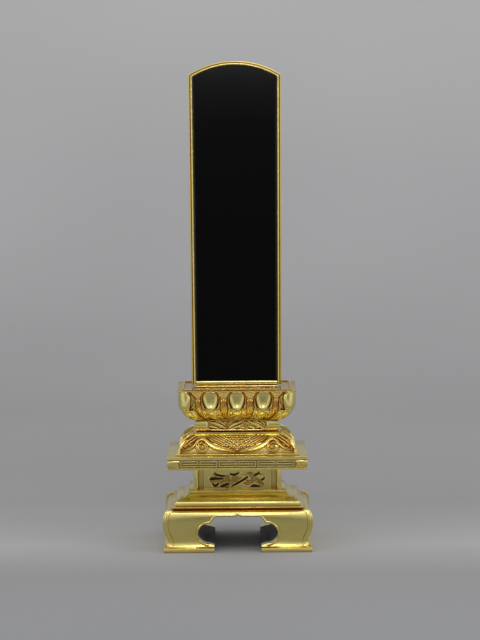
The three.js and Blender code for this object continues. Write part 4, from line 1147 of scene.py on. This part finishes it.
def petal_relief(across, up, width):
    """How far an outer petal's face stands out of the bowl: a round boss that is fullest low down, a groove,
    a lip rolled round it, and under it a stem between two smooth strips."""
    side, up = np.broadcast_arrays(np.abs(across) * petal_reach(width, up), up)
    half = width / 2
    corner = width == corner_width
    spread = np.interp(up, *(corner_spread if corner else boss_spread).T) * half
    height = np.interp(up, *(corner_height if corner else boss_height).T)
    fullness = np.interp(up, [0.5, 0.68], [2, 3])
    boss = (height - petal_edge) * np.sqrt(clamp(1 - (side / spread) ** fullness)) * (up > 0.36)
    gap, along = nearest(side, up * lotus_height, lip_line * (half, lotus_height))
    outside = side > np.interp(up, lip_line[::-1, 1], lip_line[::-1, 0]) * half
    lip_half = np.interp(along, [0, 0.5, 0.85, 1], [0.8, 0.8, 1.1, 0.6]) * np.where(outside, 2.4, 1)
    lip = np.interp(along, [0, 0.3, 0.6, 1], [4.6, 4.2, 3.9, 4.0]) * dome(gap / lip_half)
    gap, along = nearest(side, up * lotus_height, strip_line * (half, lotus_height))
    strip = strip_rise * dome(gap / np.interp(along, [0, 0.3, 1], [0.8, 1.9, 2.2]))
    stem = (corner_stem_rise if corner else stem_rise) * dome(side / ((0.9 if corner else 0.56) * half))
    stem = stem * clamp((0.4 - up) / 0.04)
    return petal_edge + np.maximum.reduce([boss, lip, strip, stem])


def petal(name, centre, width, columns, turn):
    """A sheet on the bowl, its back flat on the wall and its face carved. turn puts it on its own half."""
    inset, rise, _, _ = along_profile(bowl_profile, 0.6)
    up = (rise / lotus_height)[:, None]
    spread = math.pi / 2 * 0.8
    across = np.sin(np.linspace(-1, 1, columns) * spread)[None, :] / math.sin(spread)
    place = centre + petal_reach(width, up) * across
    z = lotus_z + rise[:, None]
    face = lotus_place(place, inset[:, None] + petal_thickness, petal_relief(across, up, width), z)
    back = lotus_place(place, inset[:, None] + petal_thickness, seam, z)
    return grid_sheet(name, face * turn, back * turn, np.ones((len(rise) - 1, columns - 1), bool), 55)


corner_place = front_run + quarter / 2
next_corner = 2 * (front_run + quarter + side_run) - corner_place
side_gap = (next_corner - corner_place - corner_width - 2 * side_width) / 3
first_side = corner_place + (corner_width + side_width) / 2 + side_gap


def half_lotus(end, side):
    """Node, place and width of the petals round one half, which ends at the next half's first petal."""
    return [
        (f"{end}_left_corner_petal", -corner_place, corner_width),
        *[(f"{end}_petal_{i + 1}", (i - 1) * petal_pitch, petal_width) for i in range(3)],
        (f"{end}_right_corner_petal", corner_place, corner_width),
        *[(f"{side}_petal_{i + 1}", first_side + i * (side_width + side_gap), side_width) for i in range(2)],
    ]


for end, side, turn in (("front", "right", (1, 1, 1)), ("rear", "left", (-1, -1, 1))):
    for node, centre, width in half_lotus(end, side):
        columns = 72 if width == corner_width else 48
        gild(petal(f"carved_{node}", centre, width, columns, turn), node)

# The bowl between them, carved from one block: each gap is one inner petal, with three curled ridges over it
# and a bone of fine cuts above them. Its gold is painted the warmest: a painted reflection of the light that
# reaches it off its neighbours.
body_rise, curl_rise, bone_rise, stalk_rise, swirl_rise = 4.2, 1.7, 0.35, 1.0, 0.8
curl_foot, curl_head, bone_foot, stalk_head, swirl_head = 0.42, 0.76, 0.8, 0.44, 0.14
inset, rise, _, _ = along_profile(bowl_profile, 0.55)
up = (rise / lotus_height)[:, None]
places = [entry[1:] for entry in half_lotus("front", "right")] + [(next_corner, corner_width)]
columns = []
for (left_centre, left_width), (right_centre, right_width) in zip(places[:-1], places[1:]):
    under = np.linspace(0, 1, 4, endpoint=False)[None, :]
    left_edge = left_centre + petal_reach(left_width, up)
    right_edge = right_centre - petal_reach(right_width, up)
    hidden = left_centre + (left_edge - left_centre) * under
    columns.append((hidden, np.zeros(hidden.shape)))
    g, level = np.broadcast_arrays(np.linspace(-1, 1, 49)[None, :], up)
    gap_place = left_edge + (right_edge - left_edge) * (g + 1) / 2
    breadth = np.clip((right_edge - left_edge) / 11, 0.2, 1)
    body = body_rise * dome(np.abs(g) * 0.95) * clamp(0.3 + level)
    above_foot = clamp((level - curl_foot) / 0.05)
    curls = np.zeros(g.shape)
    for head in (-0.6, -0.02, 0.56):
        spread = 0.35 + 0.65 * clamp((level - curl_foot) / 0.2)
        middle_line = head * spread + 0.12 * np.sin((level - 0.44) * 24)
        ends = above_foot * clamp((curl_head - abs(head) * 0.06 - level) / 0.04)
        curls = np.maximum(curls, ends * dome((g - middle_line) / 0.19))
    zone = above_foot * clamp((curl_head + 0.02 - level) / 0.04)
    bone = clamp(np.cos((level * 26 + np.abs(g) * 2.2) * math.pi)) * clamp((level - bone_foot) / 0.03)
    stalk = clamp(1 - np.abs(g) / 0.25) * clamp((stalk_head - level) / 0.05)
    swirl = clamp(np.cos((level * 18 - np.abs(g) * 1.6) * math.pi)) * clamp((swirl_head - level) / 0.04)
    relief = body * (1 - 0.25 * zone) + curl_rise * curls
    relief = relief + bone_rise * bone + stalk_rise * stalk + swirl_rise * swirl
    columns.append((gap_place, relief * breadth))
    hidden = right_edge + (right_centre - right_edge) * under
    columns.append((hidden[:, 1:], np.zeros(hidden[:, 1:].shape)))
place, relief = (np.concatenate(part, axis=1) for part in zip(*columns))
half_ring = lotus_place(place, inset[:, None] + petal_thickness, relief, lotus_z + rise[:, None])
bowl_rings = np.concatenate([half_ring, half_ring * (-1, -1, 1)], axis=1)
bowl = ring_block("carved_bowl", bowl_rings, 55)
# Painted reflection: the bowl's leaf takes warm orange all over, strongest in its hollows.
gild(bowl, "lotus_bowl", leaf=leaf_variant("bowl_leaf", 0.012, 1.35, (0.84, 0.47, 0.06)))

# The seat: a thin plate on the petals' tops, with a raised rim round a shallow tray, and a row of turned
# beads along the rim on every side. The board's tenon goes through a mortise in the tray.
plate_x, plate_y, plate_height, plate_z = lotus_width, 99.8, 1.2, 212
rim_x, rim_y, rim_wall, rim_height, rim_z = 142.4, 86.4, 1, 1.1, 212.7
tray_x, tray_y, tray_z = 140, 84, 212.8
tenon_width, tenon_thickness, tenon_play = 60, 9, 0.8
seat = block("seat_plate", plate_x, plate_y, plate_height, 0, 0, plate_z)
soften(seat, 0.25)
rim = block("seat_rim", rim_x, rim_y, rim_height, 0, 0, rim_z)
combine(rim, block("hollow_cut", rim_x - 2 * rim_wall, rim_y - 2 * rim_wall, 5, 0, 0, rim_z - 0.2))
soften(rim, 0.3)
combine(seat, block("tray_cut", tray_x, tray_y, 5, 0, 0, tray_z))
combine(seat, block("mortise_cut", tenon_width + tenon_play, tenon_thickness + tenon_play, 40, 0, 0, 190))
join_to(seat, [rim])
# Painted shade: the seat and its beads take a dark warm colour all over, deepest in the tray's hollows.
seat_leaf = leaf_variant("seat_leaf", 0.02, 1.5, (0.36, 0.17, 0.018))
gild(seat, "seat_board", leaf=seat_leaf)
bead_pitch, bead_radius, bead_z = 3.2, 1.15, 214.2
bead_x, bead_y = 71.6, 43.6
bpy.ops.object.select_all(action="DESELECT")
bpy.ops.mesh.primitive_uv_sphere_add(
    segments=10, ring_count=6, radius=bead_radius / 1000, location=(0, 0, 0))
pattern = bpy.context.object
bpy.ops.object.shade_smooth()
beads = []
for half_length, reach, turn_degrees in (
    (bead_x, bead_y, 0), (bead_y, bead_x, 90), (bead_x, bead_y, 180), (bead_y, bead_x, 270),
):
    number = int(2 * half_length / bead_pitch)
    for i in range(number):
        single = turned_copy(pattern, "bead", 0)
        set_on_side(single, reach, bead_z, turn_degrees, (i - (number - 1) / 2) * bead_pitch)
        beads.append(single)
bpy.data.objects.remove(pattern)
bead_row = beads.pop()
bead_row.name = "bead_row"
join_to(bead_row, beads)
# The beads share the seat's painted shade.
coat(bead_row, seat_leaf)
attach(bead_row, "pedestal")

# The board: planed wood under polished black lacquer, arched at its head, with a raised field inside a bevel,
# and a tenon under its foot that drops into the seat. The foot is cut back for its gilded strips.
board_z = 212.8
foot_width, shoulder_width = 120.4, 123
shoulder_z, arch_rise = 630.2, 18
board_back, board_face, board_field = 9, -5, -5.8
rim_width, rim_lift = 5.6, 3.4
arch_radius = (shoulder_width**2 / 4 + arch_rise**2) / (2 * arch_rise)
arch_centre = shoulder_z + arch_rise - arch_radius


def board_shoulder(inset):
    """Half width, height and angle of the board's shoulder at an inset from its outer edge."""
    x = shoulder_width / 2 - inset
    radius = arch_radius - inset
    return x, arch_centre + math.sqrt(radius * radius - x * x), radius, math.asin(x / radius)


def board_ring(drawn_in, y):
    """One outline of the board, drawn in all round by a distance and counted from its left foot."""
    inset, foot = rim_width + seam + drawn_in, board_z + drawn_in
    x, z, radius, angle = board_shoulder(inset)
    foot_x = foot_width / 2 - inset
    upright = np.linspace(0, 1, 6, endpoint=False)
    left = [(-foot_x + (foot_x - x) * t, foot + (z - foot) * t) for t in upright]
    arch = np.linspace(-angle, angle, 48)
    over = [(radius * math.sin(a), arch_centre + radius * math.cos(a)) for a in arch]
    return [(px, y, pz) for px, pz in left + over + [(-px, pz) for px, pz in reversed(left)]]


board = ring_block("lacquered_board", np.array([board_ring(drawn_in, y) for drawn_in, y in (
    (0.5, board_back), (0, board_back - 0.5), (0, board_face + 0.2), (0.2, board_face), (0.4, board_face),
    (2, board_field), (2.4, board_field),
)]), 20)
tenon_length = 24
tenon = block("tenon", tenon_width, tenon_thickness, tenon_length + 2, 0, 0, board_z - tenon_length)
soften(tenon, 0.6)
combine(board, tenon, "UNION")
notch_height, notch_depth, spare = 8.6, 2, 4
combine(board, block("foot_notch", foot_width + 2 * spare, notch_depth + 2 * spare, notch_height + spare, 0,
                     board_face + notch_depth / 2 - spare, board_z - spare))
bpy.ops.object.shade_smooth_by_angle(angle=math.radians(20))

black_lacquer, tree, shader = new_material("black_lacquer",
                                           {"Base Color": (0.002, 0.002, 0.0025, 1), "IOR": 1.45})
place = add_node(tree, "ShaderNodeTexCoord")
waves = add_node(tree, "ShaderNodeTexNoise", {"Scale": 14, "Detail": 2})
rub = add_node(tree, "ShaderNodeMapRange", {"To Min": 0.02, "To Max": 0.06})
relief = add_node(tree, "ShaderNodeBump", {"Strength": 0.04, "Distance": 0.001})
link(
    tree,
    (place, "Object", waves, "Vector"), (waves, "Fac", rub, "Value"), (rub, "Result", shader, "Roughness"),
    (waves, "Fac", relief, "Height"), (relief, "Normal", shader, "Normal"),
)
coat(board, black_lacquer)
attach(board, "tablet")
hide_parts("tablet_board")

# The gilded rim: two stiles and an arch glued round the board. A flat outer strip, a groove and a round bead
# run along each, and the hand-laid bead wavers a little.
bead_turn = np.linspace(math.pi, 0, 11)
rim_section = np.array([
    (0, 0), (0, 13.4), (0.3, 14.3), (0.9, 14.9), (1.5, 14.8), (1.95, 14.2), (2.2, 13.8), (2.4, 13.9),
    *[(4.0 + 1.5 * math.cos(a), 14.3 + 3.6 * math.sin(a)) for a in bead_turn],
    (5.6, 13.9), (5.6, 0),
])


def stile_place(inset, share):
    """Across and up on the right stile, at an inset and a share of the way from its foot to the shoulder."""
    x, z, _, _ = board_shoulder(inset)
    foot_z = board_z + rim_lift
    low = foot_width / 2 - inset
    low = low + (x - low) * rim_lift / (z - board_z)
    return low + (x - low) * share, foot_z + (z - seam - foot_z) * share


def arch_place(inset, share):
    """Across and up on the arch, at an inset and a share of the way from its left end."""
    _, _, radius, angle = board_shoulder(inset)
    angle = angle * (2 * share - 1)
    return radius * math.sin(angle), arch_centre + radius * math.cos(angle)


for name, node, place, sign, steps in (
    ("gilded_left_stile", "left_rim", stile_place, -1, 150),
    ("gilded_right_stile", "right_rim", stile_place, 1, 150),
    ("gilded_arch", "arched_rim", arch_place, 1, 90),
):
    rings = []
    for i in range(steps + 1):
        waver = 0.14 * math.sin(i * 1.9) + 0.1 * math.sin(i * 0.63 + 1)
        ring = []
        for across, forward in rim_section:
            x, z = place(across, i / steps)
            ring.append((sign * x, board_back - forward - (waver if forward > 15.2 else 0), z))
        rings.append(ring)
    piece = ring_block(name, np.array(rings))
    face_outward(piece)
    gild(piece, node, "tablet")

# Two gilded strips are let into the board's foot between the stiles: a rounded rail, and a thinner fillet
# under it that stands a little prouder.
strip_half = foot_width / 2 - rim_width - seam
strip_back = board_face + notch_depth - seam
for name, node, z, height, proud in (
    ("gilded_foot_rail", "foot_rail", board_z + rim_lift, 4.9, 3.4),
    ("gilded_foot_fillet", "foot_fillet", board_z, 2.3, 4.4),
):
    nose = [(board_face - proud + back, share * height) for back, share in (
        (1, 0), (0.45, 0.12), (0.1, 0.3), (0, 0.5), (0.1, 0.7), (0.45, 0.88), (1, 1),
    )]
    shape = [(strip_back, 0), *nose, (strip_back, height)]
    rings = []
    for i, x in enumerate(np.linspace(-strip_half, strip_half, 61)):
        waver = 0.07 * math.sin(i * 0.9) + 0.06 * math.sin(i * 0.37 + 2)
        rings.append([(x, y + (waver if y < strip_back - 1 else 0), z + up) for y, up in shape])
    piece = ring_block(name, np.array(rings))
    face_outward(piece)
    gild(piece, node, "tablet")

# Dowels of bare softwood hold the tiers together inside. They are never seen, so they stay plain pegs.
bare_wood = grained("bare_wood", {"Roughness": 0.7}, "ShaderNodeTexWave", {"Scale": 180, "Distortion": 3},
                    (0.42, 0.26, 0.13), (0.55, 0.38, 0.21))
for name in ("centre_dowel", "left_dowel", "right_dowel"):
    coat(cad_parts[name], bare_wood)

bpy.context.scene.view_settings.view_transform = "Standard"
